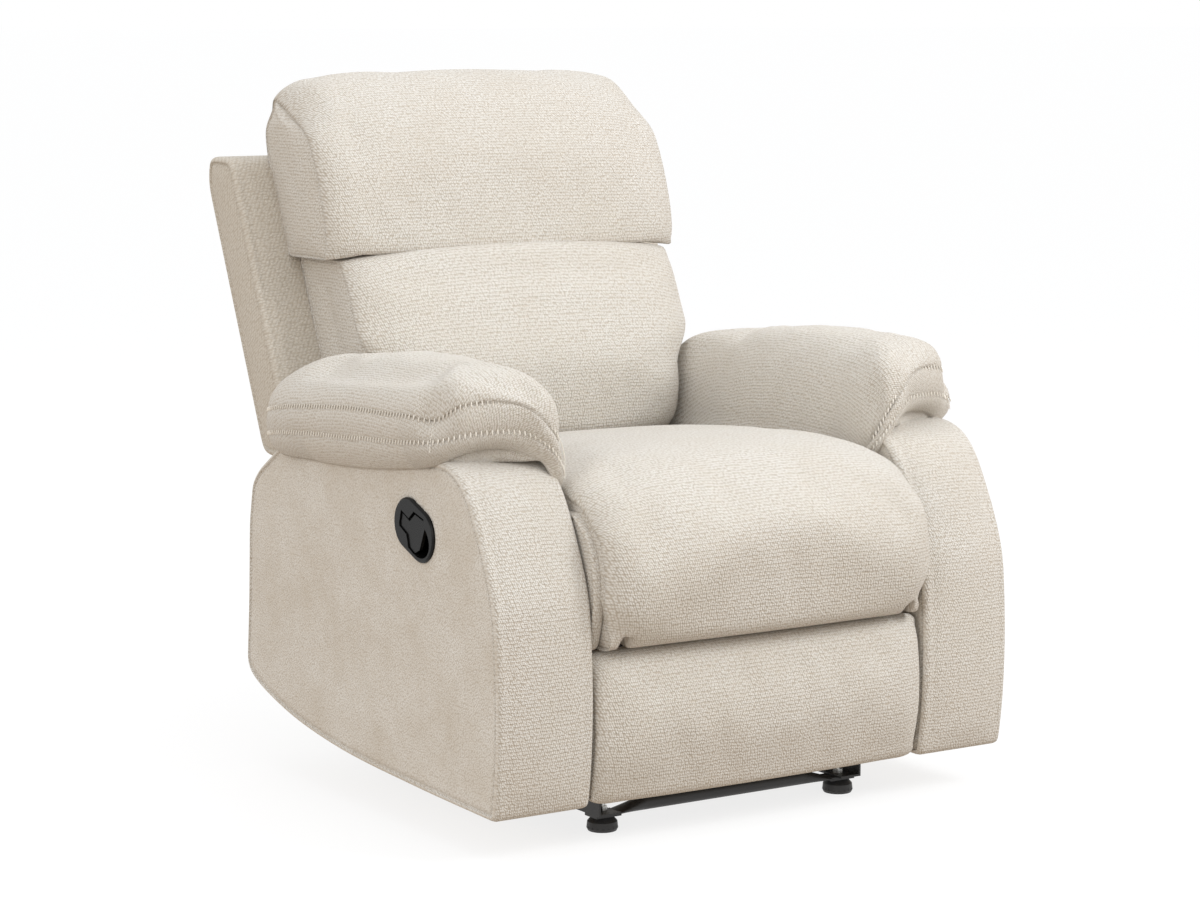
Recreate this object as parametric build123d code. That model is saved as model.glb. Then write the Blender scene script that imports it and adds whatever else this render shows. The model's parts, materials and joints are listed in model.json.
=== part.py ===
from build123d import *
import math
import os

os.makedirs("parts", exist_ok=True)

# Manual recliner armchair, millimetres, +Z up, sitter facing -Y. "right" is the sitter's right, at -X.
# Side outlines are (station, height) pairs: a station is a distance along Y behind the arms' front
# plane. save() moves the whole chair so that its origin is on the floor in the middle of its depth.
SIDES = (("right", -1), ("left", 1))

# Overall
ROLL_FRONT = -58.0        # foremost point of the seat's front roll
BACK_REAR = 960.0         # rearmost point of the back shell
MID_STATION = (ROLL_FRONT + BACK_REAR) / 2
ARM_INNER = 281.0         # inner face of each arm, from the middle
ARM_OUTER = 431.0         # outer face of each arm
SEAT_HALF = 262.0
FOOTREST_HALF = 275.0
SHELL_HALF = 370.0
PILLOW_HALF = 308.0
LUMBAR_HALF = 290.0
LUMBAR_LOW_HALF = 256.0   # the lumbar cushion's lower part, between the arms

# Upholstery
PADDING = 12.0            # foam and cover over the arms' boards
BOARD = 12.0
RAIL = 25.0               # thickness of the wooden rails
ARM_TOP = 524.0
CREASE_GAP = 6.0          # between the lumbar cushion and the head pillow

# Steel plates lie in layers, counted outwards; each plate is PLATE thick
PLATE = 3.0
STAY_LAYER = 232.0
GUIDE_LAYER = 238.0
FRONT_LAYER = 244.0
DRIVE_LAYER = 250.0
CHASSIS_LAYER = 256.0
BACK_LAYER = 262.0
LINK_HALF = 11.0
PIN_R = 5.0
HEAD_R = 8.0
HEAD = 2.0
RUN = 0.05                # radial clearance of a pin in the link that turns on it
SEATED = 0.02             # radial clearance of a pin in the plate that it is staked in
SIDE_GAP = 0.3            # between a rivet's head and the link that turns under it

# Wooden seat frame and the bolts that hold it and the arms on the side plates
RAIL_LOW = 305.0
RAIL_HIGH = 370.0
SIDE_RAIL_OUTER = 228.0
ARM_BOLTS = ((230, 325), (420, 320), (590, 330))
FRAME_BOLTS = ((308, 319), (500, 325))

# Base
FOOT_X = 203.0
FOOT_STATIONS = (88.0, 600.0)
GLIDE_R = 22.0
GLIDE_HEIGHT = 20.0
TUBE_R = 11.0
CRIMP = 5.0               # height of the cross tubes' flattened ends
RAIL_Z = GLIDE_HEIGHT + CRIMP
RAIL_TOP = 62.0
RAIL_FLANGE = 225.0       # outer face of the rails' upright flange
BOLT_R = 4.0

# Recline linkage: pivots as (station, height)
FRONT_SWING_BASE = (330.0, 112.0)
FRONT_SWING_TOP = (357.0, 232.0)
REAR_SWING_BASE = (566.2, 96.5)
REAR_SWING_TOP = (560.0, 215.0)
BACK_PIVOT = (660.0, 380.0)

# Footrest linkage, folded
DRIVE_PIVOT = (140.0, 300.0)
KNEE = (250.0, 115.0)
BOARD_PIVOT = (92.0, 245.0)
GUIDE_PIVOT = (103.0, 325.0)
CROSS_FROM_KNEE = 40.0    # from the knee to where the guide link crosses the front link
GUIDE_LENGTH = 240.0
GUIDE_ANGLE = -57.8       # degrees from +Y towards +Z
STAY_PIVOT = (91.0, 219.0)
DRIVE_TUBE_AT = (204.0, 227.5)
DRIVE_TUBE_SIDE = 20.0

# Release handle, in the right arm's outer face
HANDLE_CENTRE = (199.5, 423.5)
HANDLE_LENGTH = 108.0
HANDLE_WIDTH = 72.0
HANDLE_TILT = 21.7
BEZEL_PROUD = 5.0
CUP_DEPTH = 28.0
PADDLE_THICK = 5.0
PADDLE_PIN = (-426.0, 435.0)   # x and height of the paddle's hinge axis
TRIP_PIVOT = (200.0, 300.0)
CABLE_R = 2.5
CABLE_HOLE = (344.0, 338.0)    # where it passes the arm's inner side, as (station, height)
CABLE_PATH = ((-392, 252, 400), (-374, 300, 372), (-354, 338, 343), (-302, 345, 338),
              (-258, 339, 337), (-252, 291, 336))

# Outlines of the soft parts
ARM_FRONT = ((-2, 58), (-14, 204), (-5, 341), (35, 440), (97, 515))
ARM_BOTTOM = ((438, 72), (600, 102), (699, 139), (716, 156))
ARM_REAR = ((716, 156), (708, 249), (695, 425), (672, 449), (590, 500), (540, ARM_TOP))
SHELL_FRONT_FOOT = (671.0, 455.0)
SHELL_SLOPE = 0.438       # stations per unit of height along the back's front plane
SHELL_DEPTH = 101.0       # along Y
SHELL_TOP = 900.0
SHELL_WALL = 15.0
WING_INNER = 292.0

nodes = {}


def save(node, *solids):
    """Write one node. Several solids are separate pieces of one kind."""
    shape = solids[0] if len(solids) == 1 else Compound(children=list(solids))
    moved = Pos(0, -MID_STATION, 0) * shape
    nodes[node] = moved
    export_step(moved, f"parts/{node}.step")


def prism(face, x0, x1):
    """Extrude a (station, height) face between two distances along X."""
    lo, hi = min(x0, x1), max(x0, x1)
    return extrude(Plane.YZ.offset(lo) * face, hi - lo)


def outline(points):
    return make_face(Polyline(*points, close=True))


def smooth(points, *straight):
    """Face bounded by a spline through points and closed by straight runs."""
    corner = (points[-1],) + straight + (points[0],)
    return make_face(Spline(*points) + Polyline(*corner))


def block(x0, x1, y0, y1, z0, z1):
    box = Box(abs(x1 - x0), y1 - y0, z1 - z0)
    return Pos((x0 + x1) / 2, (y0 + y1) / 2, (z0 + z1) / 2) * box


def rod(point, x0, x1, radius):
    return prism(Pos(*point) * Circle(radius), x0, x1)


def rivet(point, side, inner, outer):
    """A rivet along X from the inner link's face to the outer plate's face, with a head at each end."""
    start = inner - SIDE_GAP
    shank = rod(point, side * start, side * outer, PIN_R)
    head_in = rod(point, side * (start - HEAD), side * start, HEAD_R)
    head_out = rod(point, side * outer, side * (outer + HEAD), HEAD_R)
    return shank + head_in + head_out


def staked_rivet(point, side, inner, plate_outer):
    """A rivet staked in the inner plate; the plate whose outer face is given turns on it."""
    outer = plate_outer + SIDE_GAP
    shank = rod(point, side * inner, side * outer, PIN_R)
    head_in = rod(point, side * (inner - HEAD), side * inner, HEAD_R)
    head_out = rod(point, side * outer, side * (outer + HEAD), HEAD_R)
    return shank + head_in + head_out


def link(p, q, side, layer, loose_p, loose_q):
    """A flat link between two pivots; a loose end turns on its pin."""
    length = math.dist(p, q)
    angle = math.degrees(math.atan2(q[1] - p[1], q[0] - p[0]))
    middle = ((p[0] + q[0]) / 2, (p[1] + q[1]) / 2)
    face = Pos(*middle) * Rot(0, 0, angle) * SlotCenterToCenter(length, 2 * LINK_HALF)
    face -= Pos(*p) * Circle(PIN_R + (RUN if loose_p else SEATED))
    face -= Pos(*q) * Circle(PIN_R + (RUN if loose_q else SEATED))
    return prism(face, side * layer, side * (layer + PLATE))


def along(p, q, distance):
    length = math.dist(p, q)
    return (p[0] + (q[0] - p[0]) * distance / length, p[1] + (q[1] - p[1]) * distance / length)


def shell_front(height):
    return SHELL_FRONT_FOOT[0] + (height - SHELL_FRONT_FOOT[1]) * SHELL_SLOPE


CROSSING = along(KNEE, BOARD_PIVOT, CROSS_FROM_KNEE)
GUIDE_END = (GUIDE_PIVOT[0] + GUIDE_LENGTH * math.cos(math.radians(GUIDE_ANGLE)),
             GUIDE_PIVOT[1] + GUIDE_LENGTH * math.sin(math.radians(GUIDE_ANGLE)))


# ---- base: rails, cross tubes, glides, brackets ----

def base_rail(side):
    flange = block(side * 190, side * RAIL_FLANGE, 62, 640, RAIL_Z, RAIL_Z + PLATE)
    upright = block(side * (RAIL_FLANGE - PLATE), side * RAIL_FLANGE, 62, 640, RAIL_Z, RAIL_TOP)
    rail = flange + upright
    for station in FOOT_STATIONS:
        rail -= Pos(side * FOOT_X, station, RAIL_Z) * Cylinder(BOLT_R + SEATED, 20)
    return rail


def cross_tube(station):
    """Round tube whose ends are crimped flat and lie under the rails."""
    round_half = 135.0
    flat_from = 185.0
    flat_to = 222.0
    axis_z = GLIDE_HEIGHT + TUBE_R - 1.0
    flat_z = GLIDE_HEIGHT + CRIMP / 2
    middle = Plane.YZ.offset(-round_half) * Pos(station, axis_z) * Circle(TUBE_R)
    tube = extrude(middle, 2 * round_half)
    for side in (-1, 1):
        normal_plane = Plane(origin=(side * round_half, station, axis_z), x_dir=(0, 1, 0), z_dir=(side, 0, 0))
        flat_plane = Plane(origin=(side * flat_from, station, flat_z), x_dir=(0, 1, 0), z_dir=(side, 0, 0))
        taper = loft([normal_plane * Circle(TUBE_R), flat_plane * Ellipse(15.5, CRIMP / 2)])
        tab = block(side * (flat_from - 4), side * flat_to, station - 15, station + 15,
                    GLIDE_HEIGHT, GLIDE_HEIGHT + CRIMP)
        tube += taper + tab
        tube -= Pos(side * FOOT_X, station, flat_z) * Cylinder(BOLT_R + SEATED, 20)
    return tube


def foot_glide(x, station):
    profile = Polyline((0, 0), (GLIDE_R - 2, 0), (GLIDE_R, 4), (GLIDE_R - 1, 13), (15, GLIDE_HEIGHT),
                       (0, GLIDE_HEIGHT), close=True)
    glide = revolve(Plane.XZ * make_face(profile), Axis.Z)
    for step in range(18):
        angle = 20.0 * step
        glide -= Rot(0, 0, angle) * Pos(GLIDE_R + 0.4, 0, 10) * Box(2, 2.4, 12)
    glide -= Pos(0, 0, GLIDE_HEIGHT - 4) * Cylinder(BOLT_R + SEATED, 12)
    return Pos(x, station, 0) * glide


def glide_bolt(x, station):
    seat_z = RAIL_Z + PLATE
    shank = Pos(0, 0, (10 + seat_z) / 2) * Cylinder(BOLT_R, seat_z - 10)
    nut = Pos(0, 0, seat_z) * extrude(RegularPolygon(7.5, 6), 6)
    stub = Pos(0, 0, seat_z + 6 + 4) * Cylinder(BOLT_R, 8)
    return Pos(x, station, 0) * (shank + nut + stub)


def base_bracket(side):
    """Plate welded on the rail that carries the two swing links."""
    face = outline(((300, RAIL_TOP), (300, 84), (316, 124), (344, 124), (364, 82), (532, 78),
                    (552, 109), (580, 109), (600, 80), (600, RAIL_TOP)))
    for pivot in (FRONT_SWING_BASE, REAR_SWING_BASE):
        face -= Pos(*pivot) * Circle(PIN_R + SEATED)
    plate = prism(face, side * FRONT_LAYER, side * (FRONT_LAYER + PLATE))
    web = block(side * (RAIL_FLANGE - 15), side * (FRONT_LAYER + PLATE), 300, 600, RAIL_TOP, RAIL_TOP + PLATE)
    return plate + web


def build_base():
    for name, side in SIDES:
        save(f"base_rail_{name}", base_rail(side))
    save("base_brackets", *[base_bracket(side) for _, side in SIDES])
    save("front_cross_tube", cross_tube(FOOT_STATIONS[0]))
    save("rear_cross_tube", cross_tube(FOOT_STATIONS[1]))
    corners = [(side * FOOT_X, station) for side in (-1, 1) for station in FOOT_STATIONS]
    save("foot_glides", *[foot_glide(x, station) for x, station in corners])
    save("glide_bolts", *[glide_bolt(x, station) for x, station in corners])
    pivots = [(pivot, side) for side in (-1, 1) for pivot in (FRONT_SWING_BASE, REAR_SWING_BASE)]
    save("base_pivot_rivets", *[staked_rivet(pivot, side, FRONT_LAYER, DRIVE_LAYER + PLATE)
                                for pivot, side in pivots])


# ---- swing links ----

def build_swings():
    spans = (("front", FRONT_SWING_BASE, FRONT_SWING_TOP), ("rear", REAR_SWING_BASE, REAR_SWING_TOP))
    for name, low, high in spans:
        save(f"{name}_swing_links", *[link(low, high, side, DRIVE_LAYER, True, True) for _, side in SIDES])


# ---- chassis: side plates, seat frame, springs, seat cushion ----

def side_plate(side):
    face = outline(((85, 286), (85, 345), (560, 345), (642, 370), (650, 394), (662, 402), (678, 396),
                    (684, 376), (650, 300), (600, 275), (578, 205), (544, 205), (528, 270), (388, 270),
                    (374, 220), (340, 220), (326, 270), (160, 278)))
    pins = [FRONT_SWING_TOP, DRIVE_PIVOT, GUIDE_PIVOT, BACK_PIVOT, REAR_SWING_TOP]
    if side < 0:
        pins.append(TRIP_PIVOT)
    for pivot in pins:
        face -= Pos(*pivot) * Circle(PIN_R + SEATED)
    for bolt in ARM_BOLTS + FRAME_BOLTS:
        face -= Pos(*bolt) * Circle(BOLT_R + SEATED)
    plate = prism(face, side * CHASSIS_LAYER, side * (CHASSIS_LAYER + PLATE))
    if side < 0:
        _, stop_y, stop_z = CABLE_PATH[-1]
        notch = block(side * (CHASSIS_LAYER - 1), side * (CHASSIS_LAYER + PLATE + 1),
                      stop_y + 8, stop_y + 61, stop_z - 5, stop_z + 14)
        tab = block(side * (CHASSIS_LAYER - 9), side * CHASSIS_LAYER, stop_y - 4, stop_y,
                    stop_z - 8, stop_z + 9)
        plate = plate - notch + tab
    return plate


def chassis_rivets():
    plate_face = CHASSIS_LAYER + PLATE
    rivets = []
    for _, side in SIDES:
        rivets.append(rivet(FRONT_SWING_TOP, side, DRIVE_LAYER, plate_face))
        rivets.append(rivet(DRIVE_PIVOT, side, DRIVE_LAYER, plate_face))
        rivets.append(rivet(GUIDE_PIVOT, side, GUIDE_LAYER, plate_face))
        rivets.append(staked_rivet(BACK_PIVOT, side, CHASSIS_LAYER, BACK_LAYER + PLATE))
        # the rear swing link's top pivot is the open one: its stub stops short of the link
        stub = rod(REAR_SWING_TOP, side * (DRIVE_LAYER + PLATE + 1), side * plate_face, PIN_R)
        cap = rod(REAR_SWING_TOP, side * plate_face, side * (plate_face + HEAD), HEAD_R)
        rivets.append(stub + cap)
    rivets.append(rivet(TRIP_PIVOT, -1, DRIVE_LAYER, plate_face))
    return rivets


def frame_bolt(point, side):
    """Bolt and spacer that hold the wooden seat frame on a side plate."""
    spacer = rod(point, side * SIDE_RAIL_OUTER, side * CHASSIS_LAYER, 8)
    shank = rod(point, side * CHASSIS_LAYER, side * (CHASSIS_LAYER + PLATE), BOLT_R)
    head = rod(point, side * (CHASSIS_LAYER + PLATE), side * (CHASSIS_LAYER + PLATE + 1.6), 7)
    return spacer + shank + head


def arm_bolt(point, side):
    """Bolt and spacer that hold an arm on a side plate."""
    head = rod(point, side * (CHASSIS_LAYER - 2.4), side * CHASSIS_LAYER, 7)
    shank = rod(point, side * CHASSIS_LAYER, side * (CHASSIS_LAYER + PLATE), BOLT_R)
    spacer = rod(point, side * (CHASSIS_LAYER + PLATE), side * ARM_INNER, 9)
    return head + shank + spacer


def seat_side_rail(side):
    return block(side * (SIDE_RAIL_OUTER - RAIL), side * SIDE_RAIL_OUTER, 55, 600, RAIL_LOW, RAIL_HIGH)


def sinuous_wire(start, end, across, step, wire_r):
    """Zigzag spring wire from start to end, swinging along the across vector."""
    start, end, across = Vector(*start), Vector(*end), Vector(*across)
    length = (end - start).length
    count = int(length // step)
    count -= count % 2
    direction = (end - start).normalized()
    points = [start]
    for i in range(count):
        swing = across if i % 2 else across * -1
        points.append(start + direction * (step * i + step / 2) + swing)
        points.append(start + direction * (step * i + step * 0.98) + swing)
    points.append(end)
    path = FilletPolyline(*points, radius=step * 0.22)
    section = Plane(origin=path @ 0, z_dir=path % 0) * Circle(wire_r)
    return sweep(section, path)


def seat_springs():
    spring_z = RAIL_HIGH + 2.5
    return [sinuous_wire((x, 44, spring_z), (x, 612, spring_z), (18, 0, 0), 42, 2)
            for x in (-160, -80, 0, 80, 160)]


def seat_cushion():
    top = ((20, 272), (-12, 274), (-44, 300), (ROLL_FRONT, 354), (-46, 432), (12, 488), (130, 508),
           (400, 492), (600, 456), (636, 436))
    face = smooth(top, (640, 380), (62, 380), (24, 377))
    cushion = prism(face, -SEAT_HALF, SEAT_HALF)
    # room underneath for the links that swing forward with the footrest
    slot = outline(((-70, 250), (70, 250), (70, 331), (20, 312), (-50, 290), (-70, 284)))
    for _, side in SIDES:
        cushion -= prism(slot, side * (STAY_LAYER - 3), side * CHASSIS_LAYER)
    return cushion


def build_chassis():
    for name, side in SIDES:
        save(f"side_plate_{name}", side_plate(side))
    save("seat_side_rails", *[seat_side_rail(side) for _, side in SIDES])
    save("chassis_rivets", *chassis_rivets())
    bolts = [frame_bolt(point, side) for side in (-1, 1) for point in FRAME_BOLTS]
    save("frame_bolts", *bolts)
    save("arm_bolts", *[arm_bolt(point, side) for side in (-1, 1) for point in ARM_BOLTS])
    save("seat_front_rail", block(-SIDE_RAIL_OUTER, SIDE_RAIL_OUTER, 30, 55, RAIL_LOW, RAIL_HIGH))
    save("seat_rear_rail", block(-SIDE_RAIL_OUTER, SIDE_RAIL_OUTER, 600, 625, RAIL_LOW, RAIL_HIGH))
    save("seat_springs", *seat_springs())
    save("seat_cushion", seat_cushion())


# ---- arms ----

def arm_face(inset=0.0):
    last = len(ARM_FRONT) - 1
    front = [(y + inset, z + (inset if i == 0 else -inset if i == last else 0))
             for i, (y, z) in enumerate(ARM_FRONT)]
    top = [(front[-1][0] + 18, ARM_TOP - inset)]
    rear = [(y - inset, z - inset * 0.6) for y, z in ARM_REAR[1:]][::-1]
    bottom = [(y - inset * 0.4, z + inset) for y, z in ARM_BOTTOM][::-1]
    rear_side = Polyline(top[0], *rear, bottom[0])
    front_side = Spline(*front) + Polyline(front[-1], top[0])
    under = Spline(*bottom, tangents=((-0.5, -0.87), (-1, -0.03))) + Polyline(bottom[-1], front[0])
    return make_face(front_side + rear_side + under)


def handle_outline(grow=0.0):
    slot = SlotOverall(HANDLE_LENGTH + 2 * grow, HANDLE_WIDTH + 2 * grow)
    return Pos(*HANDLE_CENTRE) * Rot(0, 0, HANDLE_TILT) * slot


def arm_cover(side):
    """Upholstered skin of one arm, open underneath where its boards go in."""
    outer = prism(arm_face(), side * ARM_INNER, side * ARM_OUTER)
    cavity = prism(arm_face(PADDING), side * (ARM_INNER + PADDING), side * (ARM_OUTER - PADDING))
    hatch = block(side * (ARM_INNER + PADDING), side * (ARM_OUTER - PADDING), 20, 430, 50, 100)
    cover = outer - cavity - hatch
    for bolt in ARM_BOLTS:
        cover -= rod(bolt, side * (ARM_INNER - 1), side * (ARM_INNER + PADDING + 1), 3)
    if side < 0:
        cover -= prism(handle_outline(-6), -ARM_OUTER - 1, -ARM_OUTER + PADDING + 1)
        cover -= rod(CABLE_HOLE, -(ARM_INNER + PADDING + 1), -(ARM_INNER - 1), 9)
    return cover


def arm_board(side, inner):
    """Inner or outer side board inside an arm."""
    inset = PADDING + 3
    x0 = ARM_INNER + PADDING if inner else ARM_OUTER - PADDING - BOARD
    board = prism(arm_face(inset), side * x0, side * (x0 + BOARD))
    board -= block(side * (x0 - 1), side * (x0 + BOARD + 1), 20, 430, 40, 100)
    if side < 0 and not inner:
        board -= prism(handle_outline(-5), -(x0 + BOARD + 1), -(x0 - 1))
    if side < 0 and inner:
        board -= rod(CABLE_HOLE, -(x0 + BOARD + 1), -(x0 - 1), 9)
    return board


def arm_top_rail(side):
    x0 = ARM_INNER + PADDING + BOARD
    x1 = ARM_OUTER - PADDING - BOARD
    return block(side * x0, side * x1, 140, 520, 480, 505)


def arm_pad(side):
    """Pillow over the arm: a domed top, an outer skirt and a shallow inner skirt."""
    section = Polyline((266, 462), (280, 462), (280, 526), (432, 526), (432, 500), (448, 490), (462, 516),
                       (463, 560), (446, 602), (402, 638), (355, 651), (310, 644), (279, 615),
                       (264, 566), close=True)
    across = extrude(Plane.XZ.offset(-700) * make_face(section), 700)
    if side < 0:
        across = mirror(across, about=Plane.YZ)
    top = ((104, 522), (70, 546), (62, 578), (84, 614), (140, 638), (240, 650), (335, 650), (431, 638),
           (550, 610), (618, 574), (645, 520), (642, 478))
    side_view = prism(smooth(top, (560, 480), (425, 484), (281, 494), (140, 512)), side * 250, side * 480)
    pad = across & side_view
    return pad - prism(arm_face(), side * (ARM_INNER - 1), side * (ARM_OUTER + 1))


def build_arms():
    for name, side in SIDES:
        save(f"arm_cover_{name}", arm_cover(side))
        save(f"arm_pad_{name}", arm_pad(side))
    save("arm_inner_boards", *[arm_board(side, True) for _, side in SIDES])
    save("arm_outer_boards", *[arm_board(side, False) for _, side in SIDES])
    save("arm_top_rails", *[arm_top_rail(side) for _, side in SIDES])


# ---- release handle, cable and trip lever ----

PADDLE_OUTLINE = ((231, 443), (211, 434), (197, 445), (172, 438), (170, 431), (185, 398), (198, 392),
                  (212, 399), (216, 416), (236, 426))


def handle_bezel():
    rim = prism(handle_outline(), -ARM_OUTER - BEZEL_PROUD, -ARM_OUTER)
    rim = chamfer(rim.faces().sort_by(Axis.X)[0].edges(), 2)
    housing = prism(handle_outline(-6), -ARM_OUTER, -ARM_OUTER + CUP_DEPTH)
    bezel = rim + housing
    front = -ARM_OUTER - BEZEL_PROUD
    cup = prism(Pos(187, 413) * Rot(0, 0, 24) * Ellipse(32, 24), front, -ARM_OUTER + CUP_DEPTH - 3)
    gap = offset(outline(PADDLE_OUTLINE), 1.2)
    swing_room = Pos(0, 3) * gap      # the paddle's top edge rises as it is pulled
    pocket = prism(gap, front, -ARM_OUTER + 14) + prism(swing_room, front, -ARM_OUTER + 14)
    barrel_slot = rod_y(PADDLE_PIN, 174, 230, 4.6)
    pin_bore = rod_y(PADDLE_PIN, 168, 236, 2.0 + SEATED)
    return bezel - cup - pocket - barrel_slot - pin_bore


def rod_y(point, y0, y1, radius):
    """Round bar along Y through an (x, height) point."""
    return extrude(Plane.XZ.offset(-y0) * Pos(*point) * Circle(radius), -(y1 - y0))


def release_paddle():
    plate = prism(outline(PADDLE_OUTLINE), -ARM_OUTER - 3, -ARM_OUTER - 3 + PADDLE_THICK)
    barrel = rod_y(PADDLE_PIN, 176, 228, 4.0)
    paddle = plate + barrel
    return paddle - rod_y(PADDLE_PIN, 160, 240, 2.0 + RUN)


def trip_lever():
    """Bell crank on the right side plate: the cable pulls its top, its nose starts the footrest."""
    face = outline(((183, 262), (188, 252), (196, 262), (212, 296), (216, 336), (212, 345), (203, 343),
                    (198, 312), (188, 300)))
    face -= Pos(*TRIP_PIVOT) * Circle(PIN_R + RUN)
    return prism(face, -(DRIVE_LAYER + PLATE), -DRIVE_LAYER)


def release_cable():
    """Sheathed cable from the bezel, through the arm's inner board, to its stop on the side plate."""
    points = [Vector(*p) for p in CABLE_PATH]
    radii = []
    for a, b, c in zip(points, points[1:], points[2:]):
        turn = math.radians((b - a).get_angle(c - b))
        run = min((b - a).length, (c - b).length)
        radii.append(0.45 * run / math.tan(turn / 2))
    print("cable radii", [round(r) for r in radii])
    path = FilletPolyline(*points, radius=radii)
    section = Plane(origin=path @ 0, z_dir=path % 0) * Circle(CABLE_R)
    print("cable length", round(path.length))
    return sweep(section, path)


def build_release():
    save("handle_bezel", handle_bezel())
    save("paddle_pin", rod_y(PADDLE_PIN, 169, 235, 2.0))
    save("release_paddle", release_paddle())
    save("release_cable", release_cable())
    save("trip_lever", trip_lever())


# ---- back ----

def shell_face():
    """Side outline of the back: it leans, with a level foot and top and a cut rear shoulder."""
    low = SHELL_FRONT_FOOT[1]
    shoulder = 28.0
    rear_top = (shell_front(SHELL_TOP - shoulder) + SHELL_DEPTH, SHELL_TOP - shoulder)
    return outline(((shell_front(low), low), (shell_front(low) + SHELL_DEPTH, low), rear_top,
                    (shell_front(SHELL_TOP) + SHELL_DEPTH - 22, SHELL_TOP),
                    (shell_front(SHELL_TOP), SHELL_TOP)))


def back_panel():
    """Upholstered outside back: the rear wall between the wings."""
    half = WING_INNER
    return prism(shell_face() - shell_window(SHELL_DEPTH - SHELL_WALL), -half, half)


def shell_window(depth):
    """Everything in front of a plane that lies depth behind the back's front plane."""
    low, high = 400.0, 1000.0
    return outline(((shell_front(low) - 200, low), (shell_front(low) + depth, low),
                    (shell_front(high) + depth, high), (shell_front(high) - 200, high)))


def back_wing(side):
    """Padded wing beside the cushions."""
    return prism(shell_face(), side * WING_INNER, side * SHELL_HALF)


def back_top_band():
    """Padded strip that closes the back's top edge, over the frame."""
    face = shell_face() & shell_window(SHELL_DEPTH - SHELL_WALL)
    above = block(-WING_INNER, WING_INNER, 600, 1100, SHELL_TOP - SHELL_WALL, SHELL_TOP + 5)
    return prism(face, -WING_INNER, WING_INNER) & above


def leaning_board(low, high, near, far, x0, x1):
    """Board that leans with the back, between two depths behind the back's front plane."""
    face = outline(((shell_front(low) + near, low), (shell_front(low) + far, low),
                    (shell_front(high) + far, high), (shell_front(high) + near, high)))
    return prism(face, x0, x1)


def back_bracket(side):
    face = outline(((646, 372), (660, 361), (675, 370), (712, 455), (800, 656), (782, 664), (692, 478),
                    (648, 392)))
    face -= Pos(*BACK_PIVOT) * Circle(PIN_R + RUN)
    return prism(face, side * BACK_LAYER, side * (BACK_LAYER + PLATE))


def lumbar_cushion():
    front = ((672, 462), (602, 462), (560, 488), (545, 548), (561, 606), (608, 706), (640, 746))
    face = smooth(front, (shell_front(746) - 2, 746), (shell_front(470) - 2, 470))
    narrow = prism(face, -LUMBAR_LOW_HALF, LUMBAR_LOW_HALF)
    upper = prism(face, -LUMBAR_HALF, LUMBAR_HALF) & block(-400, 400, 500, 900, 640, 800)
    return narrow + upper


def head_pillow():
    low = 746 + CREASE_GAP
    front = ((642, low), (651, 824), (682, 908), (737, 981), (800, 1026), (846, 1016), (868, 975), (868, 925))
    face = smooth(front, (shell_front(895) - 2, 895), (shell_front(low) - 2, low))
    return prism(face, -PILLOW_HALF, PILLOW_HALF)


def back_springs():
    springs = []
    for height in (570, 650, 730, 810):
        station = shell_front(height) + 46
        springs.append(sinuous_wire((-262, station, height), (262, station, height), (0, 7, 16), 42, 2))
    return springs


def build_back():
    half = BACK_LAYER + PLATE
    save("back_panel", back_panel())
    save("back_top_band", back_top_band())
    for name, side in SIDES:
        save(f"back_wing_{name}", back_wing(side))
    save("back_posts", *[leaning_board(485, 868, 20, 66, side * half, side * 290) for _, side in SIDES])
    save("back_brackets", *[back_bracket(side) for _, side in SIDES])
    save("back_top_rail", leaning_board(838, 868, 20, 66, -half, half))
    save("back_bottom_rail", leaning_board(485, 520, 20, 66, -BACK_LAYER, BACK_LAYER))
    save("back_springs", *back_springs())
    save("lumbar_cushion", lumbar_cushion())
    save("head_pillow", head_pillow())


# ---- footrest linkage ----

def drive_link(side):
    plate = link(DRIVE_PIVOT, KNEE, side, DRIVE_LAYER, True, False)
    cy, cz = DRIVE_TUBE_AT
    ear = outline(((cy - 32, cz - 6), (cy - 2, cz - 20), (cy + 14, cz - 12), (cy + 16, cz + 10),
                   (cy - 6, cz + 18), (cy - 38, cz + 18)))
    return plate + prism(ear, side * DRIVE_LAYER, side * (DRIVE_LAYER + PLATE))


def drive_tube():
    half = DRIVE_TUBE_SIDE / 2
    outer = prism(Pos(*DRIVE_TUBE_AT) * RectangleRounded(2 * half, 2 * half, 2), -DRIVE_LAYER, DRIVE_LAYER)
    bore = prism(Pos(*DRIVE_TUBE_AT) * Rectangle(2 * half - 3, 2 * half - 3), -DRIVE_LAYER, DRIVE_LAYER)
    return outer - bore


def crossing_stub(side):
    """Fixed in the front link; the crossing is an open pivot, so it stops short of the guide link."""
    stub = rod(CROSSING, side * (GUIDE_LAYER + PLATE + 0.6), side * (FRONT_LAYER + PLATE), PIN_R)
    cap = rod(CROSSING, side * (FRONT_LAYER + PLATE), side * (FRONT_LAYER + PLATE + HEAD), HEAD_R)
    return stub + cap


def front_link(side):
    plate = link(KNEE, BOARD_PIVOT, side, FRONT_LAYER, True, True)
    hole = rod(CROSSING, side * (FRONT_LAYER - 1), side * (FRONT_LAYER + PLATE + 1), PIN_R + SEATED)
    return plate - hole


def footrest_bracket(side):
    face = outline(((40, 262), (40, 150), (58, 150), (104, 194), (106, 252), (94, 262)))
    face -= Pos(*BOARD_PIVOT) * Circle(PIN_R + SEATED)
    face -= Pos(*STAY_PIVOT) * Circle(PIN_R + SEATED)
    plate = prism(face, side * DRIVE_LAYER, side * (DRIVE_LAYER + PLATE))
    flange = block(side * 222, side * DRIVE_LAYER, 40, 40 + PLATE, 150, 262)
    return plate + flange


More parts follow.
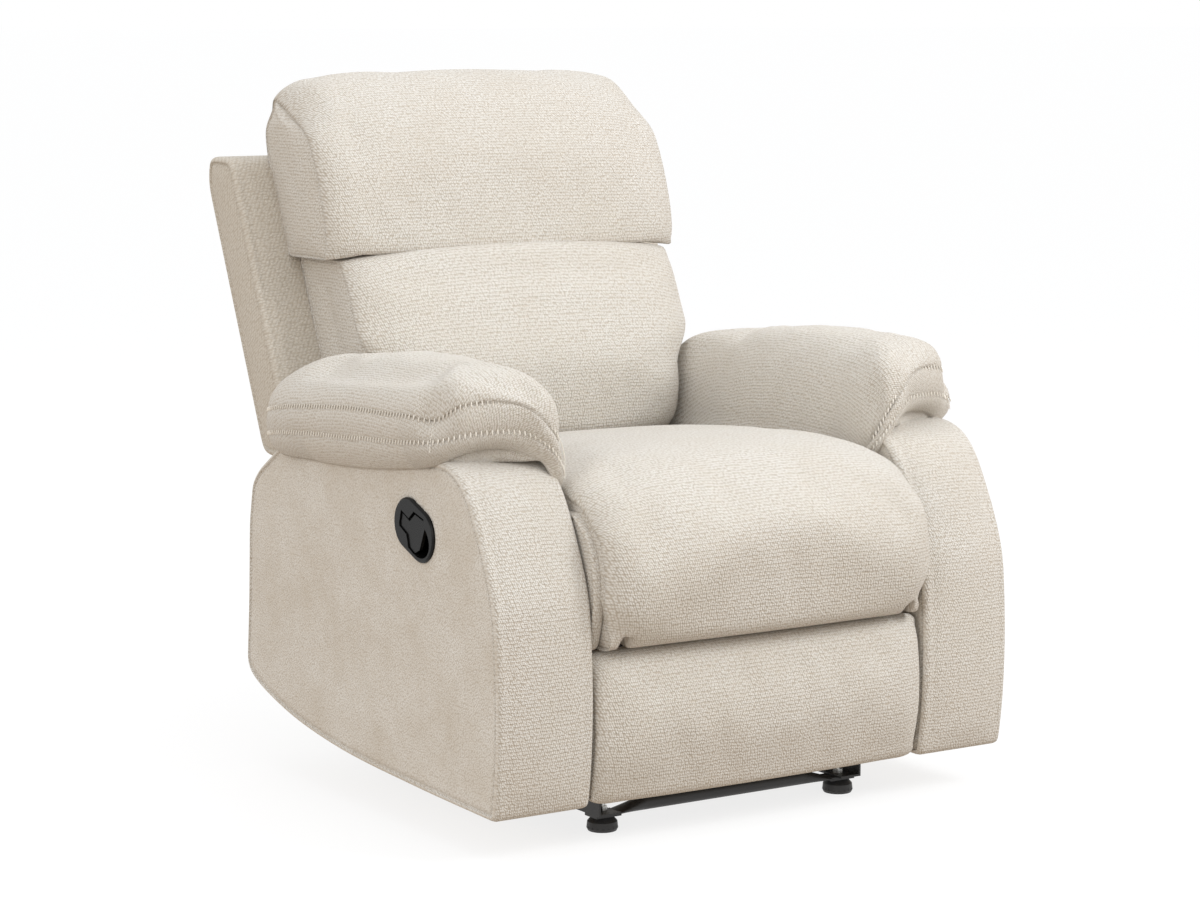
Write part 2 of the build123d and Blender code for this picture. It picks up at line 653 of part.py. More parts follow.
def stay_stub(side):
    """Fixed in the footrest bracket; the stay's far end is an open pivot, so it stops short of it."""
    plate_face = DRIVE_LAYER + PLATE
    stub = rod(STAY_PIVOT, side * (STAY_LAYER + PLATE + 0.6), side * plate_face, PIN_R)
    cap = rod(STAY_PIVOT, side * plate_face, side * (plate_face + HEAD), HEAD_R)
    return stub + cap


def opening_spring(side):
    """Coil spring from the seat's side rail to the drive tube."""
    x = side * 216
    start = Vector(x, 104, 291)
    end = Vector(x, 192, 240)
    direction = (end - start).normalized()
    length = (end - start).length
    coil = Helix(pitch=length / 16, height=length, radius=6)
    section = Plane(origin=coil @ 0, z_dir=coil % 0) * Circle(1.2)
    spring = sweep(section, coil, is_frenet=True)
    return Plane(origin=start, z_dir=direction) * spring


def footrest_pad():
    pad = block(-FOOTREST_HALF, FOOTREST_HALF, -26, 21.5, 60, 267)
    front = pad.faces().sort_by(Axis.Y)[0]
    return fillet(front.edges(), 20)


def build_footrest():
    for name, side in SIDES:
        save(f"drive_link_{name}", drive_link(side))
    save("footrest_brackets", *[footrest_bracket(side) for _, side in SIDES])
    save("front_links", *[front_link(side) for _, side in SIDES])
    save("drive_tube", drive_tube())
    save("knee_rivets", *[rivet(KNEE, side, FRONT_LAYER, DRIVE_LAYER + PLATE) for _, side in SIDES])
    save("crossing_rivets", *[crossing_stub(side) for _, side in SIDES])
    guides = [link(GUIDE_PIVOT, GUIDE_END, side, GUIDE_LAYER, True, False) for _, side in SIDES]
    save("guide_links", *guides)
    save("guide_rivets", *[rivet(GUIDE_END, side, STAY_LAYER, GUIDE_LAYER + PLATE) for _, side in SIDES])
    stays = [link(GUIDE_END, STAY_PIVOT, side, STAY_LAYER, True, False) for _, side in SIDES]
    save("stay_links", *stays)
    bracket_pins = [rivet(BOARD_PIVOT, side, FRONT_LAYER, DRIVE_LAYER + PLATE) for _, side in SIDES]
    save("footrest_rivets", *(bracket_pins + [stay_stub(side) for _, side in SIDES]))
    save("footrest_board", block(-262, 262, 22, 40, 68, 262))
    save("footrest_pad", footrest_pad())
    save("opening_springs", *[opening_spring(side) for _, side in SIDES])


build_base()
build_swings()
build_chassis()
build_arms()
build_release()
build_back()
build_footrest()
print(len(nodes), "nodes")
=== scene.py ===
import json
import math

import bpy
import bmesh
import numpy as np
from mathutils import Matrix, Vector


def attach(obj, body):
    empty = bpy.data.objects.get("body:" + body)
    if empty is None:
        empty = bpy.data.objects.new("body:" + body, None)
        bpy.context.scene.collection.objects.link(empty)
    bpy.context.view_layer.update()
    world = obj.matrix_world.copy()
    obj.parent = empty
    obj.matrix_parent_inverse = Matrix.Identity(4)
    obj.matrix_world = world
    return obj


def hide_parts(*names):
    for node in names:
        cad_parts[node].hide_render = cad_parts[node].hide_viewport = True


# Recliner armchair: upholstery, materials, floor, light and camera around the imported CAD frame.
# Side profiles are (station, height) pairs in millimetres; a station is a distance along Y behind
# the arms' front plane, and the frame's Y is the station less MID_STATION.
MM = 0.001
MID_STATION = 451.0

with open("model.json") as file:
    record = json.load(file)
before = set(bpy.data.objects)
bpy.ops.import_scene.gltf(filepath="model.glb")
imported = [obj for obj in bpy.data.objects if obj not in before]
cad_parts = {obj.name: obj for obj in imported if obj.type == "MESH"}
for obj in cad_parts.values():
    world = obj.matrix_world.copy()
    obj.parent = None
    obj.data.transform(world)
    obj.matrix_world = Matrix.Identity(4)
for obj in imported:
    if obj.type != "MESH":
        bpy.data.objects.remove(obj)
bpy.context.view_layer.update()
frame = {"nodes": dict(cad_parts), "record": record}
nodes = frame["nodes"]


# ---------------------------------------------------------------- curves and profiles

CURVE_DIVISIONS = 24        # points per span before a curve is resampled


def knot_gap(p, q):
    return max(np.linalg.norm(q - p), 1e-6) ** 0.5


def smooth_curve(points, step, closed=False):
    """Centripetal Catmull-Rom curve through points, resampled about every step."""
    pts = [np.array(p, float) for p in points]
    n = len(pts)
    dense = []
    for i in range(n if closed else n - 1):
        if closed:
            a, b, c, d = pts[i - 1], pts[i], pts[(i + 1) % n], pts[(i + 2) % n]
        else:
            b, c = pts[i], pts[i + 1]
            a = pts[i - 1] if i else 2 * b - c
            d = pts[i + 2] if i + 2 < n else 2 * c - b
        t0, t1 = 0.0, knot_gap(a, b)
        t2 = t1 + knot_gap(b, c)
        t3 = t2 + knot_gap(c, d)
        for k in range(CURVE_DIVISIONS):
            t = t1 + (t2 - t1) * k / CURVE_DIVISIONS
            a1 = (t1 - t) / (t1 - t0) * a + (t - t0) / (t1 - t0) * b
            a2 = (t2 - t) / (t2 - t1) * b + (t - t1) / (t2 - t1) * c
            a3 = (t3 - t) / (t3 - t2) * c + (t - t2) / (t3 - t2) * d
            b1 = (t2 - t) / (t2 - t0) * a1 + (t - t0) / (t2 - t0) * a2
            b2 = (t3 - t) / (t3 - t1) * a2 + (t - t1) / (t3 - t1) * a3
            dense.append((t2 - t) / (t2 - t1) * b1 + (t - t1) / (t2 - t1) * b2)
    if not closed:
        dense.append(pts[-1])
    return resample(np.array(dense), step, closed)


def resample(points, step, closed=False):
    """Points evenly spaced, about step apart, along a line or round a closed loop."""
    pts = np.vstack([points, points[:1]]) if closed else np.array(points, float)
    seg = np.linalg.norm(np.diff(pts, axis=0), axis=1)
    s = np.concatenate([[0], np.cumsum(seg)])
    count = max(2, int(round(s[-1] / step)))
    want = np.linspace(0, s[-1], count + 1)
    out = np.stack([np.interp(want, s, pts[:, i]) for i in range(pts.shape[1])], axis=1)
    return out[:-1] if closed else out


def loop_normals(loop):
    """Outward unit normals of a closed (station, height) loop."""
    tangent = np.roll(loop, -1, axis=0) - np.roll(loop, 1, axis=0)
    tangent /= np.maximum(np.linalg.norm(tangent, axis=1, keepdims=True), 1e-9)
    normal = np.stack([tangent[:, 1], -tangent[:, 0]], axis=1)
    x, y = loop[:, 0], loop[:, 1]
    area = np.sum(x * np.roll(y, -1) - np.roll(x, -1) * y)
    return normal if area > 0 else -normal


def soften(loop, rounds):
    """Round a closed loop's corners by averaging each point with its neighbours."""
    out = loop.copy()
    for _ in range(rounds):
        out = 0.5 * out + 0.25 * (np.roll(out, 1, axis=0) + np.roll(out, -1, axis=0))
    return out


def smoothstep(low, high, value):
    """0 up to low, 1 from high, and smooth between them."""
    t = np.clip((np.asarray(value, float) - low) / (high - low), 0, 1)
    return t * t * (3 - 2 * t)


def band(value, rise_from, rise_to, fall_from, fall_to):
    """1 between rise_to and fall_from, 0 outside rise_from and fall_to."""
    return smoothstep(rise_from, rise_to, value) * (1 - smoothstep(fall_from, fall_to, value))


def to_frame(x, station, height):
    """Place in the frame, in metres, of a point given in millimetres."""
    return (x * MM, (station - MID_STATION) * MM, height * MM)


def from_frame(points):
    """|x|, station and height, in millimetres, of points in the frame."""
    return np.abs(points[:, 0]) / MM, points[:, 1] / MM + MID_STATION, points[:, 2] / MM


# ---------------------------------------------------------------- mesh building

MERGE = 0.0001              # metres within which the points of a closed form are one


def mesh_object(name, verts, faces, uvs=None, smooth=True):
    """New mesh object; uvs, if any, hold the weave's coordinates in metres, face by face."""
    mesh = bpy.data.meshes.new(name)
    mesh.from_pydata([tuple(v) for v in verts], [], faces)
    if uvs is not None:
        layer = mesh.uv_layers.new(name="weave")
        flat = np.array([c for face in uvs for c in face], np.float32)
        layer.data.foreach_set("uv", flat.ravel())
    obj = bpy.data.objects.new(name, mesh)
    bpy.context.collection.objects.link(obj)
    mesh.validate()
    for poly in mesh.polygons:
        poly.use_smooth = smooth
    return obj


def facing_out(obj, close=False):
    """Turn all faces outwards, after merging coincident points and filling holes if close is true."""
    bm = bmesh.new()
    bm.from_mesh(obj.data)
    if close:
        bmesh.ops.remove_doubles(bm, verts=bm.verts, dist=MERGE)
        bmesh.ops.holes_fill(bm, edges=bm.edges, sides=0)
    bmesh.ops.recalc_face_normals(bm, faces=bm.faces)
    bm.to_mesh(obj.data)
    bm.free()
    return obj


def apply_modifiers(obj):
    depsgraph = bpy.context.evaluated_depsgraph_get()
    mesh = bpy.data.meshes.new_from_object(obj.evaluated_get(depsgraph), preserve_all_data_layers=True,
                                           depsgraph=depsgraph)
    obj.modifiers.clear()
    obj.data = mesh


TURN_STEPS = 8                                          # rings in the bend beside a seam
SEAM_GROOVE = ((1.2, 2.6), (3.0, 3.4), (5.0, 1.2))      # how far in from the seam, and how deep
SPINE_STEP = 11.0                                       # spacing of the points a side closes on


def wrap_cushion(name, loop, spine, half, turn, cross, shift, side_bulge, nx_step=7.0, move=None,
                 side_rings=9, x_shift=0.0, side_tilt=0.0):
    """Closed form: a strip wrapped round a side profile and a boxing panel at each end.

    loop: closed (station, height) profile. spine: two points on whose line the side panels close.
    half: half width, a number or one value per loop point. cross(u) gives how far the strip lies
    outside the profile at u = |x| / half. Over the last turn millimetres the strip bends until each
    loop point has moved by its shift, a (station, height) pair. side_bulge: how proud a side panel's
    middle is. nx_step: spacing of the strip's rings. move: last change to all points, as rows of x,
    station and height. side_tilt: angle of the weave on the side panels.
    Returns the object and the seam's points at positive x, before x_shift.
    """
    n = len(loop)
    normal = loop_normals(loop)
    seg = np.linalg.norm(np.roll(loop, -1, axis=0) - loop, axis=1)
    arc = np.concatenate([[0], np.cumsum(seg)])
    half = np.full(n, float(half)) if np.isscalar(half) else np.asarray(half, float)
    a, b = np.array(spine[0], float), np.array(spine[1], float)
    t = np.clip(((loop - a) @ (b - a)) / max(np.dot(b - a, b - a), 1e-9), 0, 1)
    inner = a + t[:, None] * (b - a)
    parts = max(1, round(np.linalg.norm(b - a) / SPINE_STEP))
    inner_shared = a + np.round(t * parts)[:, None] / parts * (b - a)

    rings = []          # x per loop point, (station, height) per loop point, on a side panel or not
    flat_count = max(3, int(round((np.max(half) - turn) / nx_step)))
    for k in range(flat_count + 1):
        x = (half - turn) * (k / flat_count)
        rings.append((x, loop + normal * cross(x / half)[:, None], False))
    for k in range(1, TURN_STEPS + 1):
        angle = k / TURN_STEPS * math.pi / 2
        x = half - turn + turn * math.sin(angle)
        strip = loop + normal * cross(np.minimum(x / half, 1))[:, None]
        rings.append((x, strip + shift * (1 - math.cos(angle)), False))
    x_edge, edge, _ = rings[-1]
    reach = inner - edge
    room = np.maximum(np.linalg.norm(reach, axis=1, keepdims=True), 1e-6)
    inward = reach / room
    for forward, sink in SEAM_GROOVE:
        start = edge + inward * np.minimum(forward, room * 0.4)
        rings.append((x_edge - sink, start, True))
    x_middle = np.mean(x_edge)
    for k in range(1, side_rings + 1):
        f = k / side_rings
        lift = side_bulge * math.sin(min(1.0, f * 1.25) * math.pi / 2)
        goal = inner_shared if k == side_rings else inner
        rings.append((x_edge + (x_middle - x_edge) * f - sink + lift, start + (goal - start) * f, True))

    order = [(-1, ring) for ring in rings[:0:-1]] + [(1, ring) for ring in rings]
    verts = [[side * x[i] + x_shift, pos[i, 0], pos[i, 1]]
             for side, (x, pos, _) in order for i in range(n)]
    if move is not None:
        verts = move(np.array(verts)).tolist()
    faces, uvs = [], []
    tilt_cos, tilt_sin = math.cos(side_tilt), math.sin(side_tilt)
    for row in range(len(order) - 1):
        b0, b1 = row * n, (row + 1) * n
        on_side = order[row][1][2] and order[row + 1][1][2]
        for i in range(n):
            j = (i + 1) % n
            faces.append((b0 + i, b0 + j, b1 + j, b1 + i))
            corners = []
            for v, k in zip(faces[-1], (i, i + 1, i + 1, i)):
                if on_side:
                    along, up = verts[v][1] * MM, verts[v][2] * MM
                    corners.append((along * tilt_cos + up * tilt_sin, up * tilt_cos - along * tilt_sin))
                else:
                    corners.append((verts[v][0] * MM, arc[k] * MM))
            uvs.append(corners)
    obj = facing_out(mesh_object(name, [to_frame(*v) for v in verts], faces, uvs), close=True)
    return obj, [(x_edge[i], edge[i, 0], edge[i, 1]) for i in range(n)]


CLOTH = {"quality": 4, "mass": 0.25, "tension_stiffness": 18, "compression_stiffness": 12,
         "shear_stiffness": 8, "bending_stiffness": 3.0, "pin_stiffness": 1.0, "shrink_min": -0.012,
         "use_pressure": True}
CLOTH_FRAMES = 12
EVEN_ROUNDS = 8             # smoothing rounds over the simulated movement
EVEN_SHARE = 0.6            # how much of a point's movement each round takes from its neighbours


def points_of(mesh):
    flat = np.empty(len(mesh.vertices) * 3)
    mesh.vertices.foreach_get("co", flat)
    return flat.reshape(-1, 3)


def inflate(obj, pressure, cap, pinned):
    """Fill a cushion with air for a moment so that its fabric pulls at the seams.

    No point moves more than cap millimetres. pinned(x, station, height), all in millimetres and x
    without its sign, gives how firmly each point is held, from 0 to 1.
    """
    mesh = obj.data
    rest = points_of(mesh)
    group = obj.vertex_groups.new(name="pin")
    weights = pinned(*from_frame(rest))
    for level in (0.25, 0.5, 0.75, 1.0):
        chosen = np.nonzero((weights > level - 0.125) & (weights <= level + 0.125))[0]
        group.add([int(i) for i in chosen], level, "REPLACE")
    cloth = obj.modifiers.new("cloth", "CLOTH")
    for key, value in CLOTH.items():
        setattr(cloth.settings, key, value)
    cloth.settings.uniform_pressure_force = pressure
    cloth.settings.vertex_group_mass = "pin"
    cloth.settings.effector_weights.gravity = 0.0
    cloth.collision_settings.use_collision = False
    cloth.point_cache.frame_start = 1
    cloth.point_cache.frame_end = CLOTH_FRAMES
    scene = bpy.context.scene
    for f in range(1, CLOTH_FRAMES + 1):
        scene.frame_set(f)
    depsgraph = bpy.context.evaluated_depsgraph_get()
    delta = points_of(obj.evaluated_get(depsgraph).data) - rest
    length = np.linalg.norm(delta, axis=1, keepdims=True)
    limit = cap * MM
    delta *= np.where(length > limit, limit / np.maximum(length, 1e-9), 1.0)
    delta[~np.isfinite(delta).all(axis=1)] = 0
    ends = np.empty(len(mesh.edges) * 2, np.int32)
    mesh.edges.foreach_get("vertices", ends)
    ends = ends.reshape(-1, 2)
    count = np.maximum(np.bincount(ends.ravel(), minlength=len(rest))[:, None], 1)
    for _ in range(EVEN_ROUNDS):
        total = np.zeros_like(delta)
        np.add.at(total, ends[:, 0], delta[ends[:, 1]])
        np.add.at(total, ends[:, 1], delta[ends[:, 0]])
        delta = ((1 - EVEN_SHARE) * delta + EVEN_SHARE * total / count) * (1 - weights[:, None])
    obj.modifiers.remove(cloth)
    obj.vertex_groups.clear()
    mesh.vertices.foreach_set("co", (rest + delta).ravel())
    mesh.update()
    scene.frame_set(1)


THREAD_PROFILE = ((-1.0, 0.0), (-0.7, 0.8), (0.0, 1.0), (0.7, 0.8), (1.0, 0.0))  # along, radius
THREAD_ANGLES = tuple(q * math.pi / 3 for q in range(6))


def stitches(name, path, spacing, length, radius, along=None):
    """Row of short raised threads; each lies along the path, or along the given vectors."""
    pts = [Vector(p) for p in path]
    sizes = [(b - a).length for a, b in zip(pts, pts[1:])]
    sides = len(THREAD_ANGLES)
    verts, faces = [], []
    seg, start = 0, 0.0
    for k in range(int(sum(sizes) / spacing)):
        d = (k + 0.5) * spacing
        while seg < len(sizes) - 1 and start + sizes[seg] < d:
            start += sizes[seg]
            seg += 1
        f = (d - start) / max(sizes[seg], 1e-9)
        centre = pts[seg].lerp(pts[seg + 1], min(max(f, 0), 1))
        run = (pts[seg + 1] - pts[seg]).normalized()
        axis = run if along is None else Vector(along[seg]).normalized()
        other = axis.cross(run if along is not None else Vector((0, 0, 1)))
        if other.length < 1e-3:
            other = axis.cross(Vector((1, 0, 0)))
        other.normalize()
        third = axis.cross(other)
        base = len(verts)
        for end, scale in THREAD_PROFILE:
            middle = centre + axis * end * length / 2
            if scale == 0.0:
                verts.append(middle)
                continue
            for a in THREAD_ANGLES:
                verts.append(middle + (other * math.cos(a) + third * math.sin(a)) * radius * scale)
        for q in range(sides):
            w = (q + 1) % sides
            faces.append((base, base + 1 + w, base + 1 + q))
            for row in (0, 1):
                r0 = base + 1 + sides * row
                r1 = r0 + sides
                faces.append((r0 + q, r0 + w, r1 + w, r1 + q))
            faces.append((r1 + sides, r1 + q, r1 + w))
    return facing_out(mesh_object(name, verts, faces))


# ---------------------------------------------------------------- materials

BRUSHED_TONE = (0.52, 0.45, 0.36, 1)
YARN_TONE = (0.60, 0.53, 0.44, 1)


def new_material(name):
    mat = bpy.data.materials.new(name)
    mat.use_nodes = True
    return mat, mat.node_tree, mat.node_tree.nodes["Principled BSDF"]


def node_of(tree, kind, **values):
    node = tree.nodes.new(kind)
    for key, value in values.items():
        setattr(node, key, value)
    return node


def math_node(tree, operation, a, b=None, c=None):
    node = node_of(tree, "ShaderNodeMath", operation=operation)
    for i, value in enumerate((a, b, c)):
        if value is None:
            continue
        if isinstance(value, (int, float)):
            node.inputs[i].default_value = value
        else:
            tree.links.new(value, node.inputs[i])
    return node.outputs[0]


def mix_colour(tree, factor, a, b):
    node = node_of(tree, "ShaderNodeMix", data_type="RGBA")
    for socket, value in ((node.inputs[0], factor), (node.inputs[6], a), (node.inputs[7], b)):
        if isinstance(value, (int, float, tuple)):
            socket.default_value = value
        else:
            tree.links.new(value, socket)
    return node.outputs[2]


def noise(tree, vector, scale, detail=2.0, rough=0.5):
    node = node_of(tree, "ShaderNodeTexNoise")
    node.inputs["Scale"].default_value = scale
    node.inputs["Detail"].default_value = detail
    node.inputs["Roughness"].default_value = rough
    tree.links.new(vector, node.inputs["Vector"])
    return node.outputs["Fac"]


def map_range(tree, value, source=(0.0, 1.0), target=(0.0, 1.0), kind="LINEAR"):
    node = node_of(tree, "ShaderNodeMapRange", interpolation_type=kind)
    tree.links.new(value, node.inputs["Value"])
    for key, number in zip(("From Min", "From Max", "To Min", "To Max"), (*source, *target)):
        node.inputs[key].default_value = number
    return node.outputs[0]


def bump_from(tree, height, strength, distance):
    node = node_of(tree, "ShaderNodeBump")
    node.inputs["Strength"].default_value = strength
    node.inputs["Distance"].default_value = distance
    tree.links.new(height, node.inputs["Height"])
    return node.outputs[0]


def chenille(name, row=4.8, nub=2.9, slant=0.5, nap=0.5, ribbed=0.10, irregular=0.45,
             light=(0.745, 0.725, 0.685, 1), gap_shade=(0.35, 0.28, 0.20, 1), gap_depth_and_shade=1.0, mottle=0.12):
    """Nubby chenille over a fine horizontal rib.

    row and nub: the weave's pitch in millimetres. slant: how far a row is set along from the last,
    in nubs. nap: how much fuzz there is. ribbed: how strong the rib is. irregular: how far the nubs
    stray from their rows. depth: how deep the gaps are, and how strongly their colour is darkened as
    painted shade. dark: the gaps' colour, painted shade that falls between the nubs. mottle: how
    strong the brushed patches are.
    """
    mat, tree, bsdf = new_material(name)
    weave_uv = node_of(tree, "ShaderNodeUVMap", uv_map="weave").outputs[0]
    place = node_of(tree, "ShaderNodeTexCoord").outputs["Object"]
    parts = node_of(tree, "ShaderNodeSeparateXYZ")
    tree.links.new(weave_uv, parts.inputs[0])
    u = math_node(tree, "MULTIPLY_ADD", noise(tree, place, 55.0), 0.003, parts.outputs[0])
    v = math_node(tree, "MULTIPLY_ADD", noise(tree, place, 140.0, 1.0), 0.0016, parts.outputs[1])
    # nubs: cells of a lattice with one row per pitch, each set along from the last by slant
    row_at = math_node(tree, "DIVIDE", v, row * MM)
    nub_at = math_node(tree, "DIVIDE", u, nub * MM)
    nub_at = math_node(tree, "MULTIPLY_ADD", row_at, slant, nub_at)
    lattice = node_of(tree, "ShaderNodeCombineXYZ")
    tree.links.new(nub_at, lattice.inputs[0])
    tree.links.new(row_at, lattice.inputs[1])
    cells = node_of(tree, "ShaderNodeTexVoronoi", voronoi_dimensions="2D", feature="F1")
    cells.inputs["Scale"].default_value = 1.0
    cells.inputs["Randomness"].default_value = irregular
    tree.links.new(lattice.outputs[0], cells.inputs["Vector"])
    nubs = math_node(tree, "MULTIPLY_ADD", cells.outputs["Distance"], -1.35, 1.0)
    # two ribs to a row of nubs, and fuzz over both
    rib = math_node(tree, "SINE", math_node(tree, "MULTIPLY", row_at, 4 * math.pi))
    weave = math_node(tree, "MULTIPLY_ADD", rib, ribbed, nubs)
    height = math_node(tree, "MULTIPLY_ADD", noise(tree, place, 520.0, 2.0, 0.65), nap, weave)
    # colour: painted shade in the gaps between the nubs, cream on the nubs themselves
    level = map_range(tree, height, (0.18 + 0.32 * nap, 0.72 + 0.60 * nap), (1.0 - gap_depth_and_shade * 0.66, 1.0),
                      "SMOOTHSTEP")
    base = mix_colour(tree, level, gap_shade, light)
    # broad patches and finer streaks where the pile is brushed another way
    patch = noise(tree, place, 9.0, 3.0, 0.55)
    brushed = noise(tree, place, 38.0, 4.0, 0.7)
    tone = math_node(tree, "MULTIPLY_ADD", patch, 0.6, math_node(tree, "MULTIPLY", brushed, 0.4))
    base = mix_colour(tree, map_range(tree, tone, (0.35, 0.65), (0.0, mottle * 2)), base, BRUSHED_TONE)
    # darker stretches of yarn along the rows
    yarn = node_of(tree, "ShaderNodeMapping")
    yarn.inputs["Scale"].default_value = (26.0, 520.0, 1.0)
    tree.links.new(weave_uv, yarn.inputs["Vector"])
    streak = map_range(tree, noise(tree, yarn.outputs[0], 1.0), (0.5, 0.75), (0.0, 0.35))
    base = mix_colour(tree, streak, base, YARN_TONE)
    tree.links.new(base, bsdf.inputs["Base Color"])
    tree.links.new(map_range(tree, height, target=(0.97, 0.82)), bsdf.inputs["Roughness"])
    bsdf.inputs["Specular IOR Level"].default_value = 0.22
    bsdf.inputs["Sheen Weight"].default_value = 0.32
    bsdf.inputs["Sheen Roughness"].default_value = 0.45
    bsdf.inputs["Sheen Tint"].default_value = (1.0, 0.97, 0.92, 1)
    tree.links.new(bump_from(tree, height, 0.65, 0.0018 * gap_depth_and_shade), bsdf.inputs["Normal"])
    return mat


def plain_surface(name, colour, second, rough, scale, metallic=0.0, bump=0.0002, stretch=(1, 1, 1),
                  specular=0.5):
    """Moulded, painted, plated or sawn surface: two colours and a roughness range over a fine grain."""
    mat, tree, bsdf = new_material(name)
    place = node_of(tree, "ShaderNodeTexCoord").outputs["Object"]
    mapping = node_of(tree, "ShaderNodeMapping")
    mapping.inputs["Scale"].default_value = stretch
    tree.links.new(place, mapping.inputs["Vector"])
    grain = noise(tree, mapping.outputs[0], scale, 4.0, 0.6)
    broad = noise(tree, place, scale * 0.07)
    mixed = math_node(tree, "MULTIPLY_ADD", grain, 0.6, math_node(tree, "MULTIPLY", broad, 0.4))
    blend = map_range(tree, mixed, (0.3, 0.7))
    tree.links.new(mix_colour(tree, blend, colour, second), bsdf.inputs["Base Color"])
    tree.links.new(map_range(tree, mixed, (0.3, 0.7), rough), bsdf.inputs["Roughness"])
    bsdf.inputs["Metallic"].default_value = metallic
    bsdf.inputs["Specular IOR Level"].default_value = specular
    tree.links.new(bump_from(tree, grain, 0.4, bump), bsdf.inputs["Normal"])
    return mat


WEAVE = chenille("chenille_weave")
# Ribbed weave of the wings and the back shell: the ribs are the cloth's own, but its colour is set
# darker than the other weaves as painted shade.
WEAVE_RIB_PAINTED_SHADE = chenille("chenille_ribbed_painted_shade", row=4.4, nub=6.5, slant=0.35, ribbed=0.16, gap_depth_and_shade=0.8,
                     light=(0.64, 0.60, 0.535, 1))
WEAVE_SOFT = chenille("chenille_brushed", row=3.4, nub=3.0, slant=0.4, nap=1.1, ribbed=0.05,
                      irregular=0.95, gap_depth_and_shade=0.6, mottle=0.26, light=(0.77, 0.745, 0.70, 1))
THREAD = plain_surface("stitch_thread", (0.86, 0.83, 0.77, 1), (0.78, 0.73, 0.65, 1), (0.75, 0.9), 900,
                       specular=0.25)
FINISHES = {
    "frame_wood": plain_surface("frame_wood", (0.50, 0.34, 0.19, 1), (0.66, 0.49, 0.31, 1),
                                (0.55, 0.75), 60, stretch=(1, 0.12, 1), specular=0.3),
    "zinc_steel": plain_surface("zinc_steel", (0.60, 0.60, 0.58, 1), (0.72, 0.72, 0.70, 1),
                                (0.25, 0.45), 300, metallic=1.0, bump=0.00005),
    "black_steel": plain_surface("black_steel", (0.012, 0.012, 0.013, 1), (0.03, 0.03, 0.031, 1),
                                 (0.38, 0.58), 420, bump=0.0001, specular=0.45),
    "handle_plastic": plain_surface("handle_plastic", (0.005, 0.005, 0.005, 1),
                                    (0.009, 0.009, 0.009, 1), (0.22, 0.32), 700, bump=0.00004,
                                    specular=0.15),
    "glide_plastic": plain_surface("glide_plastic", (0.011, 0.011, 0.012, 1),
                                   (0.024, 0.024, 0.025, 1), (0.42, 0.60), 500, bump=0.0001),
    "cable_sheath": plain_surface("cable_sheath", (0.015, 0.015, 0.016, 1), (0.03, 0.03, 0.03, 1),
                                  (0.35, 0.5), 500, bump=0.00006),
}


def finish_nodes():
    """Give every carried-over CAD node its procedural finish, by its slot in the record."""
    for part in frame["record"]["subparts"]:
        material = FINISHES.get(part["material_slot"])
        if material is None:
            continue
        node = nodes[part["node"]]
        if not node.material_slots:
            node.data.materials.append(material)
        for slot in node.material_slots:
            slot.material = material


# ---------------------------------------------------------------- upholstery

RUN_GAP = 0.03              # metres without a seam point that end a row of stitches


def dress(obj, material, body, fill=None, *replaced):
    obj.data.materials.clear()
    obj.data.materials.append(material)
    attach(obj, body)
    if replaced:
        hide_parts(*replaced)
    return obj


def seam_stitches(name, seam_line, sides, body, inset, keep, spacing=5.0, length=4.6, radius=0.75,
                  x_shift=0.0):
    """Stitch rows beside the seam at the ends of a wrapped cushion, where keep(seam point) is true."""
    line = [p for p in seam_line if keep(p)]
    for side in sides:
        tag = "right" if side < 0 else "left"
        path = [to_frame(side * (x - inset) + x_shift, y, z) for x, y, z in line]
        runs, run = [], [path[0]]
        for a, b in zip(path, path[1:]):
            if (Vector(a) - Vector(b)).length > RUN_GAP:
                runs.append(run)
                run = []
            run.append(b)
        runs.append(run)
        for k, points in enumerate(r for r in runs if len(r) > 4):
            piece = stitches(f"{name}_{tag}_{k}", points, spacing * MM, length * MM, radius * MM)
            dress(piece, THREAD, body)


# seat cushion ------------------------------------------------------------------------------

